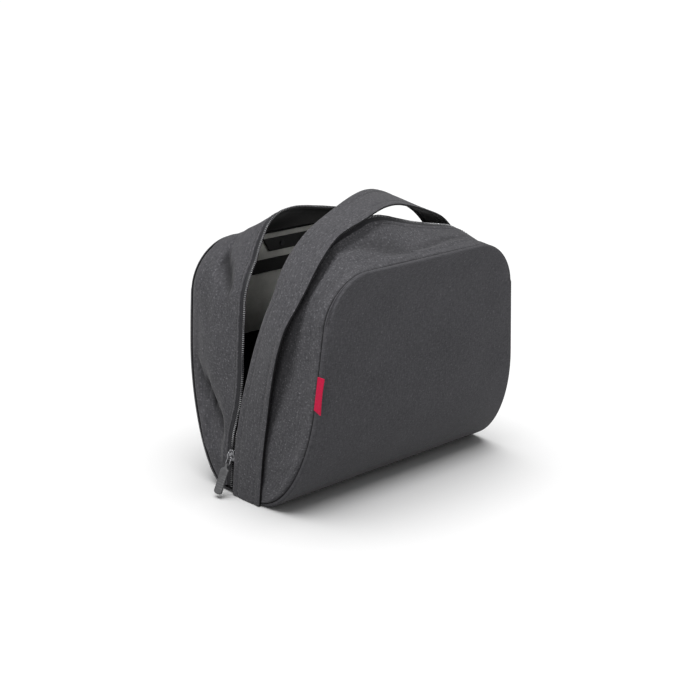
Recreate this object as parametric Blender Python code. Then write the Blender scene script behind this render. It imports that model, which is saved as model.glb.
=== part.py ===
"""Bicycle handlebar bag with a folding carry strap, standing open.

A padded panel wraps from the front under the bag to the rear. Two shaped
gussets close its sides and top, and a zip runs between them from the foot of
one side, over the top, to the foot of the other. The zip is open, so that the
bag gapes and shows its stiff back board. Metres, +Z up, -Y is the front.
"""

import math

import bmesh
import bpy
import numpy as np
from mathutils import Vector

# Body
HEIGHT = 0.1975
FOOT_WIDTH = 0.2476
TOP_WIDTH = 0.2058
TOP_CORNER_RADIUS = 0.0390
FRONT_FOOT_DEPTH = 0.0701
FRONT_TOP_DEPTH = 0.0815
REAR_FOOT_DEPTH = 0.0765
REAR_TOP_DEPTH = 0.0913
FRONT_ROUND_DEPTH = 0.0540
FRONT_ROUND_HEIGHT = 0.0940
REAR_ROUND_DEPTH = 0.0480
REAR_ROUND_HEIGHT = 0.1120
PANEL_WALL = 0.0028
PANEL_BULGE = 0.0030
REAR_BOW = 0.0032
REAR_BOW_SKEW = 1.6
GUSSET_WALL = 0.0020
SIDE_BULGE = 0.0030
GAP = 0.0003

# Opening
ZIP_FOOT_Y = 0.0200
FOOT_BAND = 0.0090
FRONT_BAND_TOP = 0.0430
REAR_BAND_TOP = 0.0610
REAR_SWING = 0.0080
FRONT_LIFT = 0.0267
REAR_LIFT = 0.0268
REAR_BELLY = 0.0035
FOLD_DEPTH = 0.0070
FOLD_SEAM_FADE = 0.15
FOLD_EDGE_FLAT = 0.13
FOLD_EDGE_FADE = 0.30

# Zip
TAPE_WIDTH = 0.0035
TAPE_THICKNESS = 0.0008
BEAD_WIDTH = 0.0022
BEAD_THICKNESS = 0.0018
SLIDER_HEIGHT = 0.0335
SLIDER_WIDTH = 0.0082
SLIDER_LENGTH = 0.0100
SLIDER_PLATE = 0.0014
SLIDER_POST = 0.0012
SLIDER_PLAY = 0.0001
BAIL_RISE = 0.0034
BAIL_LENGTH = 0.0058
BAIL_BAR = 0.0010
BAIL_WIDTH = 0.0018
LINK_LENGTH = 0.0085
LINK_INNER_WIDTH = 0.0034
LINK_WIRE = 0.0010
LINK_TILT = math.radians(27)
TAB_TILT = math.radians(14)
TAB_LENGTH = 0.0255
TAB_WIDTH = 0.0092
TAB_THICKNESS = 0.0026
TAB_TONGUE = 0.0050
TAB_EYE = 0.0018
TAB_HEAD = 0.0010
TAB_FLOOR_CLEARANCE = 0.0009

# Strap
STRAP_WIDTH = 0.0350
STRAP_THICKNESS = 0.0024
STRAP_FOOT = 0.0008
HANDLE_RISE = 0.0390

# Label
LABEL_HEIGHT = 0.0265
LABEL_REACH = 0.0052
LABEL_THICKNESS = 0.0010
LABEL_SLANT = 0.0026
LABEL_MIDDLE = 0.1085

# Back board
BOARD_WIDTH = 0.1600
BOARD_THICKNESS = 0.0014
BOARD_BOTTOM = 0.1100
BOARD_TOP = 0.1930
BAR_THICKNESS = 0.0022
BAR_HEIGHT = 0.0110
UPPER_BAR_WIDTH = 0.0620
UPPER_BAR_SLANT = 0.0060
UPPER_BAR_DROP = 0.0095
LOWER_BAR_WIDTH = 0.1200
LOWER_BAR_DROP = 0.0270
RIVET_RADIUS = 0.0024
RIVET_RISE = 0.0009
RIVET_PITCH = 0.0230

# Rear plate
PLATE_WIDTH = 0.0860
PLATE_HEIGHT = 0.0500
PLATE_THICKNESS = 0.0035
PLATE_MIDDLE = 0.1500
PLATE_CORNER = 0.0080

# Mesh density
SIDE_ROWS = 17
CORNER_ROWS = 6
TOP_ROWS = 14
FRONT_BAND_COLUMNS = 6
REAR_BAND_COLUMNS = 9
PANEL_COLUMNS = 12

# The front shell's zip edge against the height of the band. Station runs from
# 0 at the foot to 1 at the middle of the top, share from the foot line of the
# zip (0) to its line on top (1), and swing is a share of REAR_SWING
ZIP_EDGE_COLUMNS = ("station", "front_share", "rear_share", "rear_swing")
ZIP_EDGE = (
    (0.00, 0.00, 0.00, 0.00),
    (0.16, 0.00, 0.00, 0.00),
    (0.22, 0.08, 0.00, 0.45),
    (0.28, 0.22, 0.00, 0.90),
    (0.35, 0.38, 0.00, 1.00),
    (0.43, 0.55, 0.00, 0.85),
    (0.52, 0.78, 0.00, 0.75),
    (0.60, 0.93, 0.15, 0.75),
    (0.70, 1.00, 0.60, 0.40),
    (0.80, 1.00, 0.90, 0.00),
    (1.00, 1.00, 1.00, 0.00),
)

# How far the free edges of the top stand up. Across is a share of the half
# width of the top, the lifts are shares of FRONT_LIFT and REAR_LIFT
LIFT_COLUMNS = ("across", "front_lift", "rear_lift")
LIFT = (
    (-1.00, 0.00, 0.00),
    (-0.93, 0.03, 0.00),
    (-0.87, 0.08, 0.04),
    (-0.83, 0.15, 0.24),
    (-0.77, 0.28, 0.48),
    (-0.71, 0.42, 0.67),
    (-0.62, 0.57, 0.84),
    (-0.52, 0.70, 0.96),
    (-0.40, 0.84, 1.00),
    (-0.29, 0.98, 0.97),
    (-0.18, 1.00, 0.91),
    (-0.07, 0.93, 0.85),
    (0.07, 0.78, 0.76),
    (0.20, 0.64, 0.60),
    (0.34, 0.51, 0.42),
    (0.48, 0.40, 0.26),
    (0.60, 0.31, 0.15),
    (0.74, 0.19, 0.06),
    (0.90, 0.04, 0.01),
    (1.00, 0.00, 0.00),
)

# Soft folds in the rear gusset. Side is -1 on the left and 1 on the right,
# each fold runs from point a to point b, given by station and by band share
# from the seam (0) to the zip (1), width is a share of the band, and depth a
# share of FOLD_DEPTH
FOLD_COLUMNS = ("side", "station_a", "band_a", "station_b", "band_b", "width", "depth")
FOLDS = (
    (-1, 0.38, 0.08, 0.27, 0.48, 0.090, 0.70),
    (-1, 0.27, 0.48, 0.15, 0.88, 0.080, 1.00),
    (-1, 0.74, 0.62, 0.50, 0.80, 0.090, 0.75),
    (1, 0.40, 0.12, 0.24, 0.60, 0.090, 0.80),
    (1, 0.66, 0.75, 0.50, 0.55, 0.090, 0.60),
)

# Free run of the strap over the opening. Across is a share of the half width
# of the top, forward a share of the front depth, up a share of HANDLE_RISE
# above the top, tilt the rise of the rear edge as a share of the width, and
# twist the share by which the rear edge turns to the right
STRAP_COLUMNS = ("across", "forward", "up", "tilt", "twist")
STRAP_ARCH = (
    (-1.035, 0.462, -0.376, 0.00, 0.04),
    (-0.885, 0.464, 0.188, -0.03, -0.06),
    (-0.700, 0.441, 0.571, -0.02, -0.02),
    (-0.410, 0.417, 0.861, 0.11, 0.02),
    (-0.120, 0.345, 1.024, 0.15, 0.05),
    (0.120, 0.256, 0.993, 0.20, 0.04),
    (0.250, 0.211, 0.907, 0.20, 0.03),
    (0.550, 0.129, 0.596, 0.11, -0.02),
    (0.760, 0.092, 0.305, 0.03, -0.03),
    (0.880, 0.073, 0.022, 0.01, -0.02),
    (1.010, 0.059, -0.443, 0.00, 0.00),
)

# Strap's middle line down each side, from its foot: height and how far it
# leans forward, as shares of HEIGHT and of the front depth at the top, and the
# twist by which the left run's front edge stands off the gusset
STRAP_SIDE_COLUMNS = ("up", "left_forward", "right_forward", "left_twist")
STRAP_SIDE = (
    (0.02, 0.012, 0.023, 0.00),
    (0.22, 0.047, 0.023, 0.01),
    (0.40, 0.106, 0.025, 0.05),
    (0.51, 0.168, 0.030, 0.13),
    (0.61, 0.230, 0.038, 0.19),
    (0.71, 0.306, 0.046, 0.24),
    (0.80, 0.383, 0.052, 0.23),
    (0.89, 0.450, 0.060, 0.11),
)


def column(table, columns, name):
    """Return one named column of a table as an array."""
    return np.array([row[columns.index(name)] for row in table], dtype=float)


def smooth_interp(value, xs, ys):
    """Interpolate a table with a monotone cubic through its rows."""
    value = np.clip(value, xs[0], xs[-1])
    secants = np.diff(ys) / np.diff(xs)
    slopes = np.zeros(len(xs))
    slopes[0] = secants[0]
    slopes[-1] = secants[-1]
    for i in range(1, len(xs) - 1):
        if secants[i - 1] * secants[i] > 0:
            slopes[i] = 2 / (1 / secants[i - 1] + 1 / secants[i])
    i = int(np.clip(np.searchsorted(xs, value) - 1, 0, len(xs) - 2))
    span = xs[i + 1] - xs[i]
    t = (value - xs[i]) / span
    start = (1 + 2 * t) * (1 - t) ** 2 * ys[i] + t * (1 - t) ** 2 * span * slopes[i]
    end = t * t * (3 - 2 * t) * ys[i + 1] + t * t * (t - 1) * span * slopes[i + 1]
    return float(start + end)


def half_width(z):
    """Half width of the body between its corners at height z."""
    return 0.5 * (FOOT_WIDTH + (TOP_WIDTH - FOOT_WIDTH) * z / HEIGHT)


def front_plane(z):
    """Depth of the front plane at height z, as a positive length."""
    return FRONT_FOOT_DEPTH + (FRONT_TOP_DEPTH - FRONT_FOOT_DEPTH) * z / HEIGHT


def rear_plane(z):
    """Depth of the rear wall, which bows out a little, at height z."""
    share = min(1.0, max(0.0, z / HEIGHT))
    bow = REAR_BOW * math.sin(math.pi * share ** REAR_BOW_SKEW)
    return REAR_FOOT_DEPTH + (REAR_TOP_DEPTH - REAR_FOOT_DEPTH) * z / HEIGHT + bow


def body_y(share, z):
    """Y at a share of the depth from the front plane to the rear plane."""
    return -front_plane(z) + share * (front_plane(z) + rear_plane(z))


def half_profile(front, steps, top):
    """Side profile of the outer wall from the bottom's flat up to a height."""
    depth = FRONT_FOOT_DEPTH + REAR_FOOT_DEPTH
    reach = FRONT_ROUND_DEPTH if front else REAR_ROUND_DEPTH
    rise = FRONT_ROUND_HEIGHT if front else REAR_ROUND_HEIGHT
    points = []
    for k in range(steps + 1):
        angle = 0.5 * math.pi * (1 - k / steps)
        z = rise * (1 - math.sin(angle))
        share = reach * (1 - math.cos(angle)) / depth
        points.append((body_y(share if front else 1 - share, z), z))
    straight = max(3, steps // 3)
    for k in range(1, straight + 1):
        z = rise + (top - rise) * k / straight
        points.append((body_y(0 if front else 1, z), z))
    return points


def inset_line(front, inset):
    """Heights and depths of the wall's inner line, at one inset from outside."""
    points = np.array(half_profile(front, 60, HEIGHT))
    tangent = np.gradient(points, axis=0)
    tangent /= np.linalg.norm(tangent, axis=1)[:, None]
    turn = 1 if front else -1
    inner = points + inset * np.stack([tangent[:, 1] * turn, -tangent[:, 0] * turn], 1)
    return inner[:, 1], inner[:, 0]


SEAT = PANEL_WALL + GAP
FRONT_INNER = inset_line(True, SEAT)
REAR_INNER = inset_line(False, SEAT)


def inner_y(front, z):
    """Y of the edge that a gusset's seam follows inside the wrap panel."""
    heights, depths = FRONT_INNER if front else REAR_INNER
    return float(np.interp(z, heights, depths))


SIDE_TOP = HEIGHT - TOP_CORNER_RADIUS
CORNER_RUN = 0.5 * math.pi * TOP_CORNER_RADIUS
TOP_RUN = 0.5 * TOP_WIDTH - TOP_CORNER_RADIUS
BAND_RUN = SIDE_TOP + CORNER_RUN + TOP_RUN


def outline_half(low):
    """Left half of the outline: x, z, outward direction and station."""
    rows = []
    for k in range(SIDE_ROWS):
        z = low + (SIDE_TOP - low) * (k / SIDE_ROWS) ** 1.35
        rows.append((-half_width(z), z, -1.0, 0.0, z / BAND_RUN))
    centre_x = -half_width(HEIGHT) + TOP_CORNER_RADIUS
    foot_x = -half_width(SIDE_TOP)
    for k in range(CORNER_ROWS + 1):
        angle = 0.5 * math.pi * k / CORNER_ROWS
        x = centre_x - TOP_CORNER_RADIUS * math.cos(angle)
        x += (foot_x - centre_x + TOP_CORNER_RADIUS) * (1 - math.sin(angle))
        z = SIDE_TOP + TOP_CORNER_RADIUS * math.sin(angle)
        station = (SIDE_TOP + CORNER_RUN * k / CORNER_ROWS) / BAND_RUN
        rows.append((x, z, -math.cos(angle), math.sin(angle), station))
    half_top = TOP_ROWS // 2
    for k in range(1, half_top + 1):
        x = centre_x * (1 - k / half_top)
        rows.append((x, HEIGHT, 0.0, 1.0, 1 - (1 - k / half_top) * TOP_RUN / BAND_RUN))
    return rows


def outline(low):
    """Whole outline from the left foot over the top to the right foot."""
    left = outline_half(low)
    right = [(-x, z, -nx, nz, station) for x, z, nx, nz, station in left[:-1]]
    return left + right[::-1]


def table_reader(table, columns, key):
    """Return a function that reads any column of a table at a key's value."""
    xs = column(table, columns, key)
    values = {name: column(table, columns, name) for name in columns}
    return lambda name, at: smooth_interp(at, xs, values[name])


zip_edge = table_reader(ZIP_EDGE, ZIP_EDGE_COLUMNS, "station")
lift_at = table_reader(LIFT, LIFT_COLUMNS, "across")

ZIP_HALF = GAP + TAPE_WIDTH + BEAD_WIDTH + 0.5 * SLIDER_POST + GAP


def cloth_edge_y(front, station):
    """Y of a gusset's free edge, where its zip tape starts."""
    if front:
        top_y = -FRONT_TOP_DEPTH + FRONT_BAND_TOP - ZIP_HALF
        foot_y = ZIP_FOOT_Y - ZIP_HALF
        return foot_y + (top_y - foot_y) * zip_edge("front_share", station)
    top_y = REAR_TOP_DEPTH - REAR_BAND_TOP + ZIP_HALF
    foot_y = ZIP_FOOT_Y + ZIP_HALF
    swing = REAR_SWING * zip_edge("rear_swing", station)
    return foot_y + (top_y - foot_y) * zip_edge("rear_share", station) - swing


def foot_height(front):
    """Height of a gusset's foot, where its band is wide enough to sew."""
    heights, depths = FRONT_INNER if front else REAR_INNER
    edge = cloth_edge_y(front, 0.0)
    if front:
        return float(np.interp(-(edge - FOOT_BAND), -depths, heights))
    return float(np.interp(edge + FOOT_BAND, depths, heights))


def side_swell(station):
    """How far the gusset's free edge swells outwards at a station."""
    return SIDE_BULGE * math.sin(math.pi * min(1.0, 0.12 + 0.75 * station)) * min(1.0, station / 0.12)


def rear_belly(station, share):
    """How far the rear gusset bellies out between its seam and the zip."""
    window = math.sin(math.pi * min(1.0, station / 0.9)) ** 2
    return REAR_BELLY * window * math.sin(math.pi * share)


def ease(value):
    """Smooth step from 0 to 1."""
    value = min(1.0, max(0.0, value))
    return value * value * (3 - 2 * value)


def fold_depth(side, station, share):
    """Depth of the soft folds at one place of the rear gusset."""
    depth = 0.0
    for row in FOLDS:
        fold = dict(zip(FOLD_COLUMNS, row))
        if fold["side"] != side:
            continue
        start = np.array([fold["station_a"], fold["band_a"]])
        run = np.array([fold["station_b"], fold["band_b"]]) - start
        here = np.array([station, share]) - start
        along = float(np.clip(here @ run / (run @ run), 0, 1))
        away = np.linalg.norm(here - along * run)
        depth += fold["depth"] * math.exp(-((away / fold["width"]) ** 2))
    seam_fade = ease(share / FOLD_SEAM_FADE)
    edge_fade = ease((1 - FOLD_EDGE_FLAT - share) / FOLD_EDGE_FADE)
    return FOLD_DEPTH * min(depth, 1.0) * seam_fade * edge_fade


def gusset_grid(front):
    """Outer surface of one gusset: a row per outline point, seam to free edge."""
    grid = []
    columns = FRONT_BAND_COLUMNS if front else REAR_BAND_COLUMNS
    for x, z, nx, nz, station in outline(foot_height(front)):
        side = -1 if x < 0 else 1
        seam_y = inner_y(front, z)
        edge_y = cloth_edge_y(front, station)
        across = float(np.clip(x / (0.5 * TOP_WIDTH), -1, 1))
        rise = FRONT_LIFT * lift_at("front_lift", across)
        if not front:
            rise = REAR_LIFT * lift_at("rear_lift", across)
        row = []
        for k in range(columns + 1):
            share = k / columns
            out = side_swell(station) * math.sin(0.5 * math.pi * share)
            if not front:
                out += rear_belly(station, share) - fold_depth(side, station, share)
            row.append((
                x + nx * out,
                seam_y + (edge_y - seam_y) * share,
                z + nz * out + rise * share ** 1.15,
            ))
        grid.append(row)
    return np.array(grid)


def grid_normals(grid):
    """Unit normals of a grid of points."""
    along = np.gradient(grid, axis=0)
    across = np.gradient(grid, axis=1)
    normal = np.cross(along, across)
    return normal / np.linalg.norm(normal, axis=2)[:, :, None]


def thick_sheet(name, grid, wall, outward, square_edge=False):
    """Make a closed sheet of one thickness from its outer grid of points.

    A square edge goes straight in at the first column, along its neighbour.
    """
    normal = grid_normals(grid) * outward
    if square_edge:
        normal[:, 0, 1] = 0
        normal[:, 0] /= np.linalg.norm(normal[:, 0], axis=1)[:, None]
    inner = grid - normal * wall
    rows, columns = grid.shape[:2]
    mesh = bmesh.new()
    layers = []
    for points in (grid, inner):
        layers.append([[mesh.verts.new(point) for point in row] for row in points])
    for depth, layer in enumerate(layers):
        for i in range(rows - 1):
            for j in range(columns - 1):
                quad = [layer[i][j], layer[i + 1][j], layer[i + 1][j + 1], layer[i][j + 1]]
                mesh.faces.new(quad if depth == 0 else quad[::-1])
    border = [(i, 0) for i in range(rows)]
    border += [(rows - 1, j) for j in range(1, columns)]
    border += [(i, columns - 1) for i in range(rows - 2, -1, -1)]
    border += [(0, j) for j in range(columns - 2, 0, -1)]
    for k, (i, j) in enumerate(border):
        m, n = border[(k + 1) % len(border)]
        mesh.faces.new([layers[0][i][j], layers[0][m][n], layers[1][m][n], layers[1][i][j]])
    return finish_mesh(name, mesh)


def finish_mesh(name, mesh, smooth_angle=35):
    """Turn a bmesh into an object with its faces pointing out."""
    bmesh.ops.recalc_face_normals(mesh, faces=mesh.faces[:])
    data = bpy.data.meshes.new(name)
    mesh.to_mesh(data)
    mesh.free()
    data.shade_smooth()
    data.set_sharp_from_angle(angle=math.radians(smooth_angle))
    thing = bpy.data.objects.new(name, data)
    bpy.context.collection.objects.link(thing)
    return thing


def sweep(name, rings, closed=False):
    """Make a closed solid from rings of points, capped unless it closes."""
    mesh = bmesh.new()
    loops = [[mesh.verts.new(point) for point in ring] for ring in rings]
    count = len(loops[0])
    last = len(loops) if closed else len(loops) - 1
    for i in range(last):
        here = loops[i]
        there = loops[(i + 1) % len(loops)]
        for j in range(count):
            k = (j + 1) % count
            mesh.faces.new([here[j], here[k], there[k], there[j]])
    if not closed:
        mesh.faces.new(loops[0])
        mesh.faces.new(loops[-1][::-1])
    return finish_mesh(name, mesh)


def extrude_outline(name, points, origin, across, up, out, thickness):
    """Extrude a flat outline, given in its own plane, to a plate."""
    origin = np.array(origin)
    rings = []
    for level in (0.0, thickness):
        rings.append([origin + a * across + b * up + level * out for a, b in points])
    return sweep(name, rings)


def material(name, colour, roughness, metallic=0.0):
    """Make a plain Principled material."""
    made = bpy.data.materials.new(name)
    made.use_nodes = True
    shader = made.node_tree.nodes["Principled BSDF"]
    shader.inputs["Base Color"].default_value = (*colour, 1.0)
    shader.inputs["Roughness"].default_value = roughness
    shader.inputs["Metallic"].default_value = metallic
    return made


def add_wrap_panel(finish):
    """One padded panel: front, bottom and rear, with round top corners."""
    heights = [SIDE_TOP + TOP_CORNER_RADIUS * math.sin(0.5 * math.pi * k / CORNER_ROWS)
               for k in range(1, CORNER_ROWS + 1)]
    walls = []
    for front in (True, False):
        wall = half_profile(front, 14, SIDE_TOP)
        wall += [(body_y(0 if front else 1, z), z) for z in heights]
        walls.append(wall)
    path = walls[0][::-1] + walls[1]
    flat_rows = 2
    foot = len(walls[0])
    start, end = path[foot - 1][0], path[foot][0]
    flat = [(start + (end - start) * k / (flat_rows + 1), 0.0) for k in range(1, flat_rows + 1)]
    path = path[:foot] + flat + path[foot:]
    grid = []
    for y, z in path:
        width = half_width(z)
        if z > SIDE_TOP:
            over = (z - SIDE_TOP) / TOP_CORNER_RADIUS
            width += TOP_CORNER_RADIUS * (math.sqrt(max(0.0, 1 - over * over)) - 1)
        height_share = min(1.0, z / HEIGHT)
        row = []
        for k in range(PANEL_COLUMNS + 1):
            share = -1 + 2 * k / PANEL_COLUMNS
            swell = 0.0
            if y < 0 and z > 0:
                swell = PANEL_BULGE * math.sin(math.pi * height_share) * (1 - share ** 4)
            row.append((share * width, y - swell, z))
        grid.append(row)
    thing = thick_sheet("wrap_panel", np.array(grid), PANEL_WALL, 1)
    thing.data.materials.append(finish)


def add_gussets(finish):
    """The two gussets, and what their zip tapes start from."""
    edges = {}
    for front in (True, False):
        grid = gusset_grid(front)
        outward = 1 if front else -1
        name = "front_gusset" if front else "rear_gusset"
        thing = thick_sheet(name, grid, GUSSET_WALL, outward, square_edge=True)
        thing.data.materials.append(finish)
        normal = grid_normals(grid)[:, -1] * outward
        along = grid[:, -1] - grid[:, -2]
        along /= np.linalg.norm(along, axis=1)[:, None]
        edges[front] = (grid[:, -1] - 0.5 * GUSSET_WALL * normal, along, normal)
    return edges


def add_zip_tapes(edges, finish):
    """A tape with its row of teeth as a bead on each free edge."""
    reach = TAPE_WIDTH
    tip = reach + BEAD_WIDTH
    thin = 0.5 * TAPE_THICKNESS
    thick = 0.5 * BEAD_THICKNESS
    section = (
        (reach, -thin), (reach, -thick), (tip, -thick),
        (tip, thick), (reach, thick), (reach, thin),
    )
    for front, (points, along, normal) in edges.items():
        rings = []
        for point, out, up in zip(points, along, normal):
            root = point + GAP * out
            over = up - out * (up @ out)
            over /= np.linalg.norm(over)
            ring = [root - thin * over]
            ring += [root + a * out + b * over for a, b in section]
            ring.append(root + thin * over)
            rings.append(ring)
        thing = sweep("front_zip_tape" if front else "rear_zip_tape", rings)
        thing.data.materials.append(finish)


def strap_path():
    """Strap's middle line, tilt and twist, from the left foot to the right."""
    side = table_reader(STRAP_SIDE, STRAP_SIDE_COLUMNS, "up")
    ups = column(STRAP_SIDE, STRAP_SIDE_COLUMNS, "up")
    seat = GAP * 3 + 0.5 * STRAP_THICKNESS

    def side_run(name, sign):
        run = []
        for up in ups:
            z = max(up * HEIGHT, STRAP_FOOT)
            width = half_width(z)
            if z > SIDE_TOP:
                over = (z - SIDE_TOP) / TOP_CORNER_RADIUS
                width -= TOP_CORNER_RADIUS * (1 - math.sqrt(max(0.0, 1 - over * over))) * 0.55
            twist = side("left_twist", up) if sign < 0 else 0.0
            stand = seat + 0.5 * STRAP_WIDTH * twist
            x = sign * (width + side_swell(z / BAND_RUN) + stand)
            run.append((x, -side(name, up) * FRONT_TOP_DEPTH, z, 0.0, twist))
        return run

    left = side_run("left_forward", -1)
    right = side_run("right_forward", 1)[:-1]
    arch = []
    for row in STRAP_ARCH:
        knot = dict(zip(STRAP_COLUMNS, row))
        x = knot["across"] * 0.5 * TOP_WIDTH
        z = HEIGHT + knot["up"] * HANDLE_RISE
        arch.append((x, -knot["forward"] * FRONT_TOP_DEPTH, z, knot["tilt"], knot["twist"]))
    return np.array(left + arch + right[::-1])


def spline(points, steps):
    """Smooth line through points, with its knots spaced by their distance."""
    gaps = np.linalg.norm(np.diff(points[:, :3], axis=0), axis=1)
    knots = np.concatenate([[0], np.cumsum(gaps)])
    slopes = np.gradient(points, knots, axis=0)
    places = np.linspace(0, knots[-1], steps)
    line = []
    for place in places:
        i = int(np.clip(np.searchsorted(knots, place) - 1, 0, len(knots) - 2))
        span = knots[i + 1] - knots[i]
        t = (place - knots[i]) / span
        start = (1 + 2 * t) * (1 - t) ** 2 * points[i]
        start = start + t * (1 - t) ** 2 * span * slopes[i]
        end = t * t * (3 - 2 * t) * points[i + 1]
        end = end + t * t * (t - 1) * span * slopes[i + 1]
        line.append(start + end)
    return np.array(line)


def add_handle_strap(finish):
    """Flat strap, sewn in at both feet and free over the top."""
    line = spline(strap_path(), 64)
    centre = line[:, :3]
    tangent = np.gradient(centre, axis=0)
    tangent /= np.linalg.norm(tangent, axis=1)[:, None]
    half = 0.5 * STRAP_WIDTH
    thin = 0.5 * STRAP_THICKNESS
    crown = 0.25 * STRAP_THICKNESS
    section = (
        (-half, -crown), (-half + thin, -thin), (half - thin, -thin), (half, -crown),
        (half, crown), (half - thin, thin), (-half + thin, thin), (-half, crown),
    )
    rings = []
    for point, run, (tilt, twist) in zip(centre, tangent, line[:, 3:]):
        broad = np.array([twist, 1.0, tilt])
        broad -= run * (broad @ run)
        broad /= np.linalg.norm(broad)
        out = np.cross(run, broad)
        rings.append([point + a * broad + b * out for a, b in section])
    for end in (0, -1):
        for point in rings[end]:
            point[2] = STRAP_FOOT
    thing = sweep("handle_strap", rings)
    thing.data.materials.append(finish)


def slider_frame():
    """Place and directions of the slider on the left side's zip."""
    def surface(z):
        station = z / BAND_RUN
        return Vector((-(half_width(z) + side_swell(station) - 0.5 * GUSSET_WALL), ZIP_FOOT_Y, z))
    step = 0.5 * SLIDER_LENGTH
    up = (surface(SLIDER_HEIGHT + step) - surface(SLIDER_HEIGHT - step)).normalized()
    rear = Vector((0, 1, 0))
    out = rear.cross(up).normalized()
    if out.x > 0:
        out = -out
    return surface(SLIDER_HEIGHT), np.array(out), np.array(rear), np.array(up)


def add_zip_slider(finish):
    """Slider with two plates, a post between the rows and a bail."""
    origin, out, rear, up = slider_frame()
    inside = 0.5 * BEAD_THICKNESS + GAP + SLIDER_PLAY
    outside = inside + SLIDER_PLATE
    wide = 0.5 * SLIDER_WIDTH
    post = 0.5 * SLIDER_POST
    shape = (
        (-outside, -wide), (-inside, -wide), (-inside, -post), (inside, -post),
        (inside, -wide), (outside, -wide), (outside, wide), (inside, wide),
        (inside, post), (-inside, post), (-inside, wide), (-outside, wide),
    )
    foot = np.array(origin) - up * 0.5 * SLIDER_LENGTH
    body = extrude_outline("zip_slider", shape, foot, out, rear, up, SLIDER_LENGTH)
    half = 0.5 * BAIL_LENGTH
    root = outside - 0.4 * SLIDER_PLATE
    high = outside + BAIL_RISE
    bridge = (
        (root, -half), (high, -half), (high, half), (root, half),
        (root, half - BAIL_BAR), (high - BAIL_BAR, half - BAIL_BAR),
        (high - BAIL_BAR, -half + BAIL_BAR), (root, -half + BAIL_BAR),
    )
    side = np.array(origin) - rear * 0.5 * BAIL_WIDTH
    bail = extrude_outline("bail_shape", bridge, side, out, up, rear, BAIL_WIDTH)
    bail.hide_render = True
    bail.display_type = "WIRE"
    join = body.modifiers.new("bail", "BOOLEAN")
    join.operation = "UNION"
    join.solver = "EXACT"
    join.object = bail
    body.data.materials.append(finish)
    eye = np.array(origin) + out * (outside + 0.5 * (BAIL_RISE - BAIL_BAR))
    return eye - up * (half - BAIL_BAR - 0.5 * LINK_WIRE - GAP), out, rear


def hanging(angle):
    """Direction that hangs down, swung out from the left side by an angle."""
    return np.array([-math.sin(angle), 0.0, -math.cos(angle)])


def add_pull_link(eye, rear, finish):
    """Long wire ring between the slider's bail and the tab."""
    down = hanging(LINK_TILT)
    out = np.cross(down, rear)
    turn = 0.5 * (LINK_INNER_WIDTH + LINK_WIRE)
    reach = LINK_LENGTH - LINK_WIRE
    bend = 0.6 * turn
    corners = (
        (-turn + bend, bend, 180), (turn - bend, bend, 270),
        (turn - bend, reach - bend, 0), (-turn + bend, reach - bend, 90),
    )
    path = []
    for wide, deep, start in corners:
        for k in range(4):
            angle = math.radians(start + 90 * k / 3)
            path.append((wide + bend * math.cos(angle), deep + bend * math.sin(angle)))
    rings = []
    for k, (wide, deep) in enumerate(path):
        before = np.array(path[k - 1])
        after = np.array(path[(k + 1) % len(path)])
        flat = (after - before) / np.linalg.norm(after - before)
        run = rear * flat[0] + down * flat[1]
        side = np.cross(run, out)
        centre = np.array(eye) + rear * wide + down * deep
        ring = []
        for m in range(6):
            angle = 2 * math.pi * m / 6
            ring.append(centre + 0.5 * LINK_WIRE * (math.cos(angle) * side + math.sin(angle) * out))
        rings.append(ring)
    thing = sweep("pull_link", rings, closed=True)
    thing.data.materials.append(finish)
    return np.array(eye) + down * reach


def add_pull_tab(end, rear, finish):
    """Rubber tab, swung out so that its tip clears the ground."""
    room = TAB_LENGTH + 0.5 * TAB_EYE
    drop = end[2] - TAB_FLOOR_CLEARANCE - 0.5 * TAB_THICKNESS
    down = hanging(max(TAB_TILT, math.acos(min(1.0, drop / room))))
    out = np.cross(down, rear)
    if out[0] > 0:
        out = -out
    eye_centre = end + down * (0.5 * TAB_EYE - 0.5 * LINK_WIRE - 0.5 * GAP)
    top = -(0.5 * TAB_EYE + TAB_HEAD)
    neck = top + TAB_TONGUE
    half = 0.5 * TAB_WIDTH
    slim = 0.5 * (LINK_INNER_WIDTH - 2 * GAP)
    bevel = 0.25 * TAB_WIDTH
    shape = (
        (-slim, top), (-slim, neck - bevel), (-half, neck + 0.2 * bevel), (-half, TAB_LENGTH - bevel),
        (-half + bevel, TAB_LENGTH), (half - bevel, TAB_LENGTH), (half, TAB_LENGTH - bevel),
        (half, neck + 0.2 * bevel), (slim, neck - bevel), (slim, top),
    )
    origin = eye_centre - out * 0.5 * TAB_THICKNESS
    tab = extrude_outline("pull_tab", shape, origin, rear, down, out, TAB_THICKNESS)
    eye_ring = []
    for k in range(12):
        angle = 2 * math.pi * k / 12
        eye_ring.append((0.5 * TAB_EYE * math.cos(angle), 0.5 * TAB_EYE * math.sin(angle)))
    bore_start = eye_centre - rear * TAB_WIDTH
    bore = extrude_outline("eye_shape", eye_ring, bore_start, out, down, rear, 2 * TAB_WIDTH)
    bore.hide_render = True
    bore.display_type = "WIRE"
    cut = tab.modifiers.new("eye", "BOOLEAN")
    cut.operation = "DIFFERENCE"
    cut.solver = "EXACT"
    cut.object = bore
    tab.data.materials.append(finish)


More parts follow.
